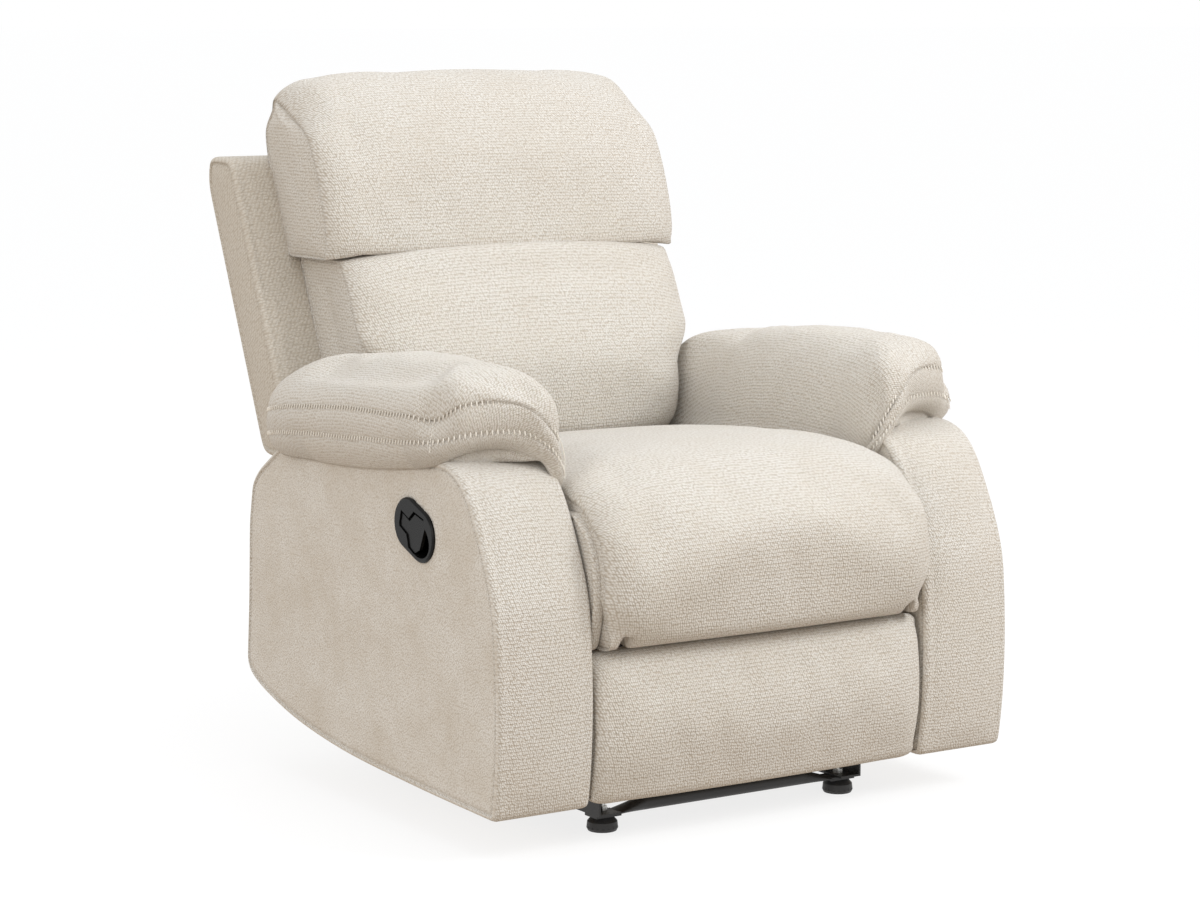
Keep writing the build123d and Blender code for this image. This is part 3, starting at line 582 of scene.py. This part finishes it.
def seat_cushion():
    top = ((24, 274), (0, 271), (-30, 280), (-50, 312), (-57, 354), (-52, 405), (-28, 456), (22, 494),
           (110, 511), (220, 509), (400, 494), (540, 474), (600, 463), (634, 450))
    curve = smooth_curve(top, 7)
    rest = resample(np.array([(634, 450), (638, 384), (62, 384), (28, 372), (24, 274)], float), 7)
    loop = soften(np.vstack([curve[:-1], rest[:-1]]), 3)
    y, z = loop[:, 0], loop[:, 1]
    normal = loop_normals(loop)
    topness = smoothstep(0.3, 0.9, normal[:, 1])
    frontness = smoothstep(0.2, 0.8, -normal[:, 0])
    on_roll = 1 - smoothstep(60, 120, y)
    droop = 16 * topness + 8 * frontness

    def cross(u):
        return 5.0 * (topness + frontness) * (1 - u ** 2) - droop * u ** 5

    half = 261 + 10 * on_roll * smoothstep(290, 340, z)
    shift = np.stack([(1 - smoothstep(-58, 30, y)) * smoothstep(272, 300, z) * 26,
                      -smoothstep(400, 500, z) * (8 + 12 * on_roll)], axis=1)

    def move(v):
        # room for the open footrest's links: all four behind the lip, the guide links through it
        x = np.abs(v[:, 0])
        ceiling = 306 + v[:, 1] * 0.36
        behind = band(x, 220, 229, 253, 259) * smoothstep(-14, 6, v[:, 1])
        through = band(x, 229, 236, 243.5, 249)
        low = (v[:, 2] < ceiling) & (v[:, 1] < 66)
        v[:, 2] += np.where(low, (ceiling - v[:, 2]) * np.maximum(behind, through), 0)
        return v

    obj, line = wrap_cushion("seat_cushion_soft", loop, ((60, 400), (560, 420)), half, 40.0, cross,
                             shift, 2.0, move=move)

    def pinned(x, y, z):
        edge = smoothstep(232, 252, x)
        under = 1 - smoothstep(-6, 14, z - np.interp(y, (-60, 0, 60, 640), (280, 300, 396, 400)))
        back = smoothstep(560, 600, y)
        return np.maximum.reduce([edge, under, back])

    inflate(obj, 1.8, 9, pinned)
    dress(obj, WEAVE, "chassis", 0.75, "seat_cushion")
    seam_stitches("seat_stitch", line, (-1, 1), "chassis", inset=9,
                  keep=lambda p: p[1] < 90 and p[2] > 290 and p[1] < -6 + 0.9 * (p[2] - 250))


GUSSET_HALF, GUSSET_X = 8.6, 270.6


def seat_gusset(side, tag):
    """Recessed panel between the roll's end and the arm, and the strip that runs back from it."""
    front = smooth_curve(((8, 273), (0, 296), (-9, 340), (-6, 385), (12, 425), (44, 452)), 5.0)
    rest = resample(np.array([(44, 452), (300, 446), (640, 424), (640, 398), (66, 398), (66, 273),
                              (8, 273)], float), 6.0)
    loop = soften(np.vstack([front[:-1], rest[:-1]]), 2)

    def cross(u):
        return 2.5 * (1 - u ** 2) * np.ones(len(loop))

    shift = -2.5 * loop_normals(loop)
    obj, _ = wrap_cushion(f"seat_gusset_{tag}", loop, ((38, 300), (38, 412)), GUSSET_HALF, 3.0, cross,
                          shift, 0.0, nx_step=2.0, side_rings=3, x_shift=side * GUSSET_X)
    dress(obj, WEAVE, "chassis", 0.4)


# footrest pad ------------------------------------------------------------------------------

def footrest_pad():
    loop = smooth_curve(((21.5, 62), (6, 60), (-6, 66), (-16, 92), (-25, 130), (-27, 165), (-25, 205),
                         (-17, 245), (-4, 264), (10, 269), (21.5, 268)), 5.5)
    back = resample(np.array([(21.5, 268), (41.5, 265), (41.5, 65), (21.5, 62)], float), 7)
    loop = np.vstack([loop[:-1], back[:-1]])
    facing = smoothstep(0.1, 0.8, -loop_normals(loop)[:, 0])

    def cross(u):
        return facing * (3.5 * (1 - u ** 2) - 7.0 * u ** 6)

    y, z = loop[:, 0], loop[:, 1]
    shift = np.stack([16 * (1 - smoothstep(-26, 12, y)), 9 * (1 - smoothstep(60, 110, z))
                      - 7 * smoothstep(220, 268, z)], axis=1)
    obj, _ = wrap_cushion("footrest_pad_soft", loop, ((14, 110), (14, 220)), 275, 30.0, cross, shift,
                          1.0, nx_step=6.5, side_rings=5)

    def pinned(x, y, z):
        return np.maximum.reduce([smoothstep(244, 262, x), smoothstep(-8, 4, y),
                                  1 - smoothstep(70, 92, z), smoothstep(240, 258, z)])

    inflate(obj, 1.2, 5, pinned)
    dress(obj, WEAVE, "footrest", 0.8, "footrest_pad")


# back cushions -----------------------------------------------------------------------------

SHELL_HALF = 257.5          # half width of the shell between the wings


def shell_front(height):
    """Station of the back shell's sloping front plane at a height."""
    return 671 + (height - 455) * 0.438


def shell_held(y, z):
    """How firmly a back cushion is held where it lies on the shell."""
    return smoothstep(-46, -16, y - shell_front(z))


def back_loop(front, low, high):
    """A back cushion's closed profile: its front curve and a flat rear on the shell."""
    step = 6.5
    rear = resample(np.array([front[-1], (shell_front(high) - 2, high), (shell_front(low) - 2, low),
                              front[0]], float), step)
    return soften(np.vstack([smooth_curve(front, step)[:-1], rear[:-1]]), 2)


def head_pillow():
    front = ((652, 753), (644, 764), (643, 790), (651, 830), (678, 902), (706, 948), (740, 988),
             (775, 1014), (806, 1025), (838, 1020), (860, 1000), (869, 965), (868, 925))
    loop = back_loop(front, 752, 895)
    normal = loop_normals(loop)
    facing = smoothstep(0.0, 0.6, -normal[:, 0] * 0.9 + normal[:, 1] * 0.35)
    topness = smoothstep(930, 1000, loop[:, 1])
    bottom = smoothstep(0.5, 0.95, -normal[:, 1])

    def cross(u):
        bow = -22 * bottom * (1 - u ** 2)
        return facing * 5 * (1 - u ** 2) - (9 * facing + 14 * topness) * u ** 6 + bow

    half = 308 - 5 * topness
    ahead = shell_front(loop[:, 1]) - loop[:, 0]
    shift = np.stack([26 * smoothstep(20, 110, ahead), -22 * smoothstep(925, 1022, loop[:, 1])], axis=1)
    obj, line = wrap_cushion("head_pillow_soft", loop, ((742, 800), (806, 950)), half, 40.0, cross,
                             shift, 8.0)

    def pinned(x, y, z):
        return np.maximum.reduce([smoothstep(270, 296, x), shell_held(y, z),
                                  1 - smoothstep(752, 785, z)])

    inflate(obj, 1.6, 8, pinned)
    dress(obj, WEAVE, "back", 0.8, "head_pillow")
    seam_stitches("pillow_stitch", line, (-1, 1), "back", inset=5, spacing=5.5,
                  keep=lambda p: p[1] < shell_front(p[2]) - 30 and p[2] > 775)


def lumbar_cushion():
    front = ((672, 462), (640, 459), (604, 462), (574, 474), (556, 496), (547, 548), (560, 606),
             (588, 662), (612, 712), (630, 738), (650, 747))
    loop = back_loop(front, 470, 747)
    normal = loop_normals(loop)
    facing = smoothstep(0.1, 0.7, -normal[:, 0])
    upper = smoothstep(575, 650, loop[:, 1])

    def cross(u):
        return facing * (6 * (1 - u ** 2) - 12 * u ** 6)

    half = 257 + 33 * np.maximum(upper, smoothstep(640, 690, loop[:, 0]))
    ahead = shell_front(loop[:, 1]) - loop[:, 0]
    shift = np.stack([22 * smoothstep(20, 100, ahead),
                      3 * (1 - smoothstep(460, 500, loop[:, 1]))], axis=1)

    def move(v):
        u = np.minimum(np.abs(v[:, 0]) / 290.0, 1.0)
        v[:, 2] += smoothstep(600, 740, v[:, 2]) * (4 + 20 * (1 - u ** 3))
        return v

    obj, line = wrap_cushion("lumbar_cushion_soft", loop, ((640, 520), (720, 700)), half, 42.0, cross,
                             shift, 5.0, move=move)

    def pinned(x, y, z):
        edge = smoothstep(222, 248, x - 33 * smoothstep(575, 650, z))
        return np.maximum.reduce([edge, shell_held(y, z), smoothstep(716, 740, z),
                                  1 - smoothstep(470, 500, z)])

    inflate(obj, 1.5, 8, pinned)
    dress(obj, WEAVE, "back", 0.75, "lumbar_cushion")
    seam_stitches("lumbar_stitch", line, (-1, 1), "back", inset=5, spacing=5.5,
                  keep=lambda p: p[1] < shell_front(p[2]) - 30 and p[2] > 600)


# arms --------------------------------------------------------------------------------------

ARM_HALF, ARM_X = 75.0, 356.0
HANDLE_AT = (199.5, 423.5)              # station and height of the handle's middle
HANDLE_LENGTH, HANDLE_WIDTH = 108.0, 72.0
HANDLE_TILT = math.radians(21.7)
HANDLE_LAP = 2.0                        # how far the housing's rim covers the cloth
HANDLE_REACH = (-445, -398)             # x range of the opening


def arm_loop():
    step = 7.0
    front = smooth_curve(((-2, 58), (-11, 130), (-14, 204), (-12, 273), (-5, 341), (11, 390), (35, 440),
                          (66, 490), (97, 515), (128, 524)), step)
    rear = resample(np.array([(128, 524), (540, 524), (590, 500), (668, 452), (690, 430), (702, 370),
                              (708, 249), (716, 156)], float), step)
    bottom = smooth_curve(((716, 156), (702, 138), (600, 102), (438, 76), (220, 64), (-2, 58)), step)
    return soften(np.vstack([front[:-1], rear[:-1], bottom[:-1]]), 3)


def arm_cover(side, tag):
    loop = arm_loop()
    normal = loop_normals(loop)
    facing = smoothstep(0.3, 0.8, -normal[:, 0]) * smoothstep(60, 100, loop[:, 1])
    upper = smoothstep(380, 470, loop[:, 1]) * facing

    def cross(u):
        valley = np.exp(-((1 - u) * ARM_HALF - 15) ** 2 / 30.0)
        return facing * (5.0 * (1 - u ** 2) - 1.8 * valley) + upper * 5 * (1 - u ** 2)

    obj, line = wrap_cushion(f"arm_cover_soft_{tag}", loop, ((170, 260), (560, 300)), ARM_HALF, 9.0,
                             cross, -7.0 * normal, 2.4, nx_step=5.0, side_rings=34,
                             x_shift=side * ARM_X)
    if side < 0:
        cut_handle_hole(obj)
    dress(obj, WEAVE, "chassis", 0.35, f"arm_cover_{tag}")
    # the flat side panels are brushed cloth
    obj.data.materials.append(WEAVE_SOFT)
    for poly in obj.data.polygons:
        if abs(poly.normal.x) > 0.8:
            poly.material_index = 1
    seam_stitches(f"arm_stitch_{tag}", line, (-1, 1), "chassis", inset=11, spacing=6.0, length=4.8,
                  radius=0.6, x_shift=side * ARM_X, keep=lambda p: p[1] < 150 and 62 < p[2] < 530)


def handle_outline(count=48):
    """Stadium outline of the opening behind the handle's rim, as (station, height) points."""
    length, width = HANDLE_LENGTH - 2 * HANDLE_LAP, HANDLE_WIDTH - 2 * HANDLE_LAP
    straight, radius = (length - width) / 2, width / 2
    points = []
    for k in range(count):
        a = 2 * math.pi * k / count
        x = math.cos(a) * radius + (straight if math.cos(a) > 0 else -straight)
        z = math.sin(a) * radius
        points.append((HANDLE_AT[0] + x * math.cos(HANDLE_TILT) - z * math.sin(HANDLE_TILT),
                       HANDLE_AT[1] + x * math.sin(HANDLE_TILT) + z * math.cos(HANDLE_TILT)))
    return points


def cut_handle_hole(obj):
    """Opening in the arm's outer side that the handle's housing sits in."""
    ring = handle_outline()
    n = len(ring)
    verts = [to_frame(x, y, z) for x in HANDLE_REACH for y, z in ring]
    faces = [tuple(range(n)), tuple(range(2 * n - 1, n - 1, -1))]
    faces += [(i, (i + 1) % n, n + (i + 1) % n, n + i) for i in range(n)]
    cutter = facing_out(mesh_object("handle_hole", verts, faces, smooth=False))
    cut = obj.modifiers.new("hole", "BOOLEAN")
    cut.operation, cut.solver, cut.object = "DIFFERENCE", "EXACT", cutter
    apply_modifiers(obj)
    bpy.data.objects.remove(cutter)


# arm pads ----------------------------------------------------------------------------------

PAD_TIP = {"right": 62.0, "left": 84.0}         # station of each pad's front
PAD_SPINE = np.array([[358.0, 190.0], [358.0, 470.0]])
PAD_TOP = ((190, 260, 340, 400, 470), (647, 651, 651, 645, 631))        # stations, crest heights
PAD_UNDER = ((540, 590, 646), (521, 497, 462))                          # stations, underside heights
PAD_DOME_RINGS = 20
GATHER = np.array([-15.0, 13.0, -12.0])         # how far the corner of a pad's bands is drawn in
GATHER_REACH = 28.0


def pad_outline(tip):
    """Points round a pad: |x|, station, heights of the upper seam, the lower seam and the lower
    edge, how far the skirt returns under the pad, and how full the top is.
    """
    return ((266, 636, 476, 469, 461, 16, 3.4), (264, 560, 471, 465, 458, 15, 3.5),
            (264, 430, 469, 463, 456, 15, 3.5), (264, 300, 469, 463, 456, 15, 3.5),
            (265, 170, 471, 464, 457, 15, 3.5), (267, tip + 44, 482, 472, 462, 15, 3.4),
            (271, tip + 14, 515, 497, 480, 14, 3.1), (284, tip + 2, 549, 519, 500, 16, 2.8),
            (303, tip + 2, 575, 543, 523, 20, 2.5), (335, tip + 14, 599, 561, 537, 24, 2.2),
            (385, tip + 30, 606, 563, 538, 26, 2.1), (424, tip + 42, 602, 559, 531, 27, 2.0),
            (447, tip + 58, 594, 555, 520, 28, 1.9), (459, 150, 588, 550, 513, 29, 1.75),
            (462, 205, 584, 544, 506, 31, 1.7), (463, 281, 582, 540, 497, 31, 1.65),
            (463, 348, 579, 535, 491, 31, 1.65), (463, 438, 571, 530, 486, 31, 1.65),
            (462, 520, 563, 523, 485, 31, 1.7), (455, 582, 553, 515, 484, 28, 1.8),
            (436, 620, 545, 509, 482, 26, 1.9), (400, 640, 534, 502, 480, 24, 2.0),
            (350, 646, 520, 496, 476, 24, 2.2), (300, 646, 500, 485, 470, 22, 2.6),
            (276, 642, 484, 474, 463, 18, 3.1))


def gather_corner(tip):
    """Where the side band meets the front band."""
    return np.array([446.0, tip + 66, 592.0])


def gathered(points, tip):
    """Points at positive x, drawn in round the corner of the bands."""
    away = np.linalg.norm((points - gather_corner(tip)) * (1, 1, 0.8), axis=-1)
    return points + GATHER * np.expand_dims(np.exp(-(away / GATHER_REACH) ** 2), -1)


def pad_rings(rows, spine, unit, reach, top):
    """(distance from the spine, height) of each ring of a pad, from its crest out, down and under."""
    plan, (zt, zb, ze, ret, full) = rows[:, :2], rows[:, 2:].T
    gap = np.clip((zt - zb) / 30.0, 0.15, 1.0)
    gap_low = np.clip((zb - ze) / 25.0, 0.2, 1.0)
    power = 2.0 / full
    rings = []
    for k in range(1, PAD_DOME_RINGS + 1):
        angle = k / PAD_DOME_RINGS * math.pi / 2
        f = np.sin(angle) ** power
        g = max(math.cos(angle), 0.0) ** power
        rings.append((reach * f - 1.5 * f ** 6, zt + (top - zt) * g))
    # upper seam, outer band, lower seam
    rings.append((reach - 4.6 * gap, zt - 1.5 * gap))
    rings.append((reach - 1.6 * gap, zt - 4.5 * gap))
    for f, out in ((0.22, 0.6), (0.5, 1.6), (0.78, 0.6)):
        rings.append((reach + out * gap, zt + (zb - zt) * f))
    rings.append((reach - 1.6 * gap, zb + 3.5 * gap))
    rings.append((reach - 4.6 * gap, zb))
    # skirt that turns in under the pad, and the underside
    rings.append((reach - 2.2 * gap, zb - 3.5 * gap_low))
    for f in (0.35, 0.6, 0.8, 0.93, 1.0):
        inward = (ret - 3) * (0.10 + 0.90 * f ** 2.4)
        rings.append((reach - inward, zb + (ze - zb) * f))
    under = np.interp(plan[:, 1], *PAD_UNDER)
    rings.append((reach - ret - 1.0, ze + 1.0))
    rings.append((reach - ret - 2.0, (ze + under) / 2))
    rings.append((reach - ret - 4.0, under))
    for f in (0.72, 0.5, 0.25):
        rings.append((reach * f, np.interp(spine[:, 1] + unit[:, 1] * reach * f, *PAD_UNDER)))
    return rings


def arm_pad(side, tag):
    tip = PAD_TIP[tag]
    rows = smooth_curve(pad_outline(tip), 6.0, closed=True)
    plan, n = rows[:, :2], len(rows)
    start, run = PAD_SPINE[0], PAD_SPINE[1] - PAD_SPINE[0]
    spine = start + np.clip(((plan - start) @ run) / np.dot(run, run), 0, 1)[:, None] * run
    top = np.interp(spine[:, 1], *PAD_TOP)
    reach = np.linalg.norm(plan - spine, axis=1)
    unit = (plan - spine) / reach[:, None]

    # the rings' points and, for the weave, the same points laid out flat
    crest = np.stack([spine[:, 0], np.round(spine[:, 1] / 10.0) * 10.0], axis=1)
    points, flat = [np.column_stack([crest, np.interp(crest[:, 1], *PAD_TOP)])], [crest]
    travelled, last = np.zeros(n), (np.zeros(n), top)
    rings = pad_rings(rows, spine, unit, reach, top)
    for r, z in rings:
        travelled = travelled + np.hypot(r - last[0], z - last[1])
        last = (r, z)
        points.append(np.column_stack([spine + unit * r[:, None], z]))
        flat.append(spine + unit * travelled[:, None])
    flat = np.concatenate(flat)[:, ::-1] * MM
    faces = [(r * n + i, r * n + (i + 1) % n, (r + 1) * n + (i + 1) % n, (r + 1) * n + i)
             for r in range(len(rings)) for i in range(n)]
    verts = gathered(np.concatenate(points), tip) * (side, 1, 1)
    obj = facing_out(mesh_object(f"arm_pad_soft_{tag}", [to_frame(*p) for p in verts], faces,
                                 flat[np.array(faces)]), close=True)

    def pinned(x, y, z):
        seam = np.interp(y, (60, 120, 300, 470, 560, 640), (612, 618, 606, 596, 584, 552))
        outer = smoothstep(300, 420, x)
        return 1 - smoothstep(-16, 14, z - (seam * outer + 500 * (1 - outer)))

    inflate(obj, 2.0, 9, pinned)
    dress(obj, WEAVE, "chassis", 0.85, f"arm_pad_{tag}")
    pad_stitches(tag, side, tip, rows, spine, unit, reach)


def pad_stitches(tag, side, tip, rows, spine, unit, reach):
    """The short seam at a pad's gathered corner, and the two rows of ticks along its outer band."""
    zt, zb = rows[:, 2], rows[:, 3]

    def place(i, out, z):
        q = gathered(np.array([*(spine[i] + unit[i] * (reach[i] + out)), z]), tip)
        return to_frame(side * q[0], q[1], q[2])

    at = int(np.argmin(np.linalg.norm(rows[:, :2] - gather_corner(tip)[:2], axis=1)))
    seam = [place(at, 1.0 - 3.0 * max(f - 1, 0), zt[at] + (zb[at] - zt[at]) * f)
            for f in np.linspace(0.12, 1.5, 9)]
    piece = stitches(f"arm_pad_corner_seam_{tag}", seam, 4.2 * MM, 4.0 * MM, 0.6 * MM)
    dress(piece, THREAD, "chassis")
    n = len(rows)
    banded = [i for i in range(n) if zt[i] - zb[i] > 16]
    first = next(i for i in banded if (i - 1) % n not in banded)
    ordered = [(first + k) % n for k in range(len(banded))]
    ticks = [(side * unit[i, 0] * -0.25, unit[i, 1] * -0.25, 1.0) for i in ordered]
    for label, seam_z, drop in (("upper", zt, 2.0), ("lower", zb, -1.0)):
        path = [place(i, -0.4, seam_z[i] - drop) for i in ordered]
        piece = stitches(f"arm_pad_stitch_{label}_{tag}", path, 7.5 * MM, 8.0 * MM, 1.0 * MM,
                         along=ticks)
        dress(piece, THREAD, "chassis")


# back shell --------------------------------------------------------------------------------

WING_HALF, WING_X = 56.2, 314.0
WING_WEAVE = math.radians(-35)


def shell_loop(depth_near, depth_far, low, high, rounds, shoulder):
    """Closed profile between two depths behind the shell's front, with a sloped top rear corner."""
    points = [(shell_front(low) + depth_near, low), (shell_front(low) + depth_far, low),
              (shell_front(high - shoulder) + depth_far, high - shoulder),
              (shell_front(high) + depth_far - 24, high), (shell_front(high) + depth_near, high)]
    return soften(resample(np.array(points, float), 6.5, True), rounds)


def back_wing(side, tag):
    loop = shell_loop(0, 100, 456, 899, rounds=8, shoulder=44)
    normal = loop_normals(loop)
    facing = smoothstep(0.3, 0.8, -normal[:, 0])

    def cross(u):
        valley = np.exp(-((1 - u) * WING_HALF - 13) ** 2 / 26.0)
        return facing * (3.0 * (1 - u ** 2) - 1.5 * valley)

    obj, line = wrap_cushion(f"back_wing_soft_{tag}", loop, ((735, 500), (890, 850)), WING_HALF, 9.0,
                             cross, -8.0 * normal, 2.5, nx_step=4.5, side_rings=12,
                             x_shift=side * WING_X, side_tilt=WING_WEAVE)
    # the wing's weave has its colour darkened as painted shade
    dress(obj, WEAVE_RIB_PAINTED_SHADE, "back", 0.4, f"back_wing_{tag}")
    seam_stitches(f"wing_stitch_{tag}", line, (side,), "back", inset=11, spacing=5.5, length=4.6,
                  radius=0.65, x_shift=side * WING_X,
                  keep=lambda p: p[1] < shell_front(p[2]) + 22 and 462 < p[2] < 890)


def shell_panel(name, loop, spine, proud, turn, inset, fill, replaced):
    """Panel between the wings: proud gives how far each loop point stands out in the middle."""
    obj, _ = wrap_cushion(name, loop, spine, SHELL_HALF, turn, lambda u: proud * (1 - u ** 4),
                          -inset * loop_normals(loop), 0.0, nx_step=8.0, side_rings=2)
    dress(obj, WEAVE_RIB_PAINTED_SHADE, "back", fill, replaced)


def outside_back():
    loop = shell_loop(84, 101, 456, 897, rounds=1, shoulder=22)
    proud = smoothstep(0.4, 0.9, loop_normals(loop)[:, 0]) * 5.0
    shell_panel("outside_back", loop, ((768, 470), (950, 870)), proud, 5.0, 3.0, 0.2, "back_panel")


def back_top_band():
    corners = [(shell_front(884), 884), (shell_front(884) + 86, 884), (shell_front(898) + 84, 898),
               (shell_front(900) - 1, 900)]
    loop = soften(resample(np.array(corners, float), 5.5, True), 1)
    proud = smoothstep(0.5, 0.9, loop_normals(loop)[:, 1]) * 3.0
    shell_panel("back_top_band_soft", loop, ((880, 892), (930, 892)), proud, 4.0, 2.0, 0.3,
                "back_top_band")


seat_cushion()
footrest_pad()
head_pillow()
lumbar_cushion()
for side, tag in ((-1, "right"), (1, "left")):
    arm_cover(side, tag)
    arm_pad(side, tag)
    back_wing(side, tag)
    seat_gusset(side, tag)
outside_back()
back_top_band()
finish_nodes()


# ---------------------------------------------------------------- floor, light, camera

FLOOR_HALF = 220.0


def pale_floor():
    """Floor that stays white to its far edge and still takes the chair's soft shadow."""
    corners = [(-FLOOR_HALF, -FLOOR_HALF, 0), (FLOOR_HALF, -FLOOR_HALF, 0),
               (FLOOR_HALF, FLOOR_HALF, 0), (-FLOOR_HALF, FLOOR_HALF, 0)]
    floor = mesh_object("floor", corners, [(0, 1, 2, 3)])
    mat, _, bsdf = new_material("pale_floor")
    bsdf.inputs["Base Color"].default_value = (0.22, 0.22, 0.22, 1)
    bsdf.inputs["Emission Color"].default_value = (1, 1, 1, 1)
    bsdf.inputs["Emission Strength"].default_value = 0.80
    bsdf.inputs["Roughness"].default_value = 0.9
    bsdf.inputs["Specular IOR Level"].default_value = 0.0
    floor.data.materials.append(mat)
    floor.visible_diffuse = False       # the world's lower half lights the chair from below instead


def area_light(name, place, target, size, power, colour=(1, 1, 1)):
    data = bpy.data.lights.new(name, "AREA")
    data.shape = "RECTANGLE"
    data.size, data.size_y = size
    data.energy = power
    data.color = colour
    light = bpy.data.objects.new(name, data)
    light.location = place
    light.rotation_euler = (Vector(target) - Vector(place)).to_track_quat("-Z", "Y").to_euler()
    bpy.context.collection.objects.link(light)


def studio():
    world = bpy.data.worlds.new("studio")
    world.use_nodes = True
    tree = world.node_tree
    direction = node_of(tree, "ShaderNodeTexCoord").outputs["Generated"]
    parts = node_of(tree, "ShaderNodeSeparateXYZ")
    tree.links.new(direction, parts.inputs[0])
    climb = math_node(tree, "MULTIPLY_ADD", parts.outputs[2], 0.5, 0.5)
    ramp = node_of(tree, "ShaderNodeValToRGB")
    tree.links.new(climb, ramp.inputs[0])
    # from straight down to straight up: dim and warm below, a white band at the horizon, pale sky
    stops = ((0.0, (0.42, 0.33, 0.24)), (0.47, (0.62, 0.52, 0.42)), (0.485, (1, 1, 1)),
             (0.53, (1, 1, 1)), (0.56, (0.88, 0.86, 0.82)), (1.0, (0.88, 0.90, 0.94)))
    elements = ramp.color_ramp.elements
    elements[0].position, elements[0].color = stops[0][0], (*stops[0][1], 1)
    elements[1].position, elements[1].color = stops[-1][0], (*stops[-1][1], 1)
    for place, colour in stops[1:-1]:
        elements.new(place).color = (*colour, 1)
    tree.links.new(ramp.outputs[0], tree.nodes["Background"].inputs[0])
    bpy.context.scene.world = world
    middle = (0.0, 0.0, 0.5)
    area_light("key", (1.9, -2.6, 2.6), middle, (1.6, 1.6), 78, (0.96, 0.98, 1.0))
    area_light("fill", (-3.4, -1.6, 1.5), middle, (2.0, 2.0), 23, (1.0, 0.97, 0.93))
    area_light("top", (-0.3, 0.3, 3.4), middle, (2.6, 2.2), 18, (0.96, 0.98, 1.0))


def front_camera():
    data = bpy.data.cameras.new("camera")
    data.lens = 96.2
    data.sensor_width = 36.0
    data.clip_end = 600.0
    camera = bpy.data.objects.new("camera", data)
    camera.location = (-2.555, -3.979, 1.114)
    camera.rotation_euler = (math.radians(90 - 7.74), 0.0, math.radians(-33))
    bpy.context.collection.objects.link(camera)
    bpy.context.scene.camera = camera


pale_floor()
studio()
front_camera()
bpy.context.scene.view_settings.view_transform = "Standard"
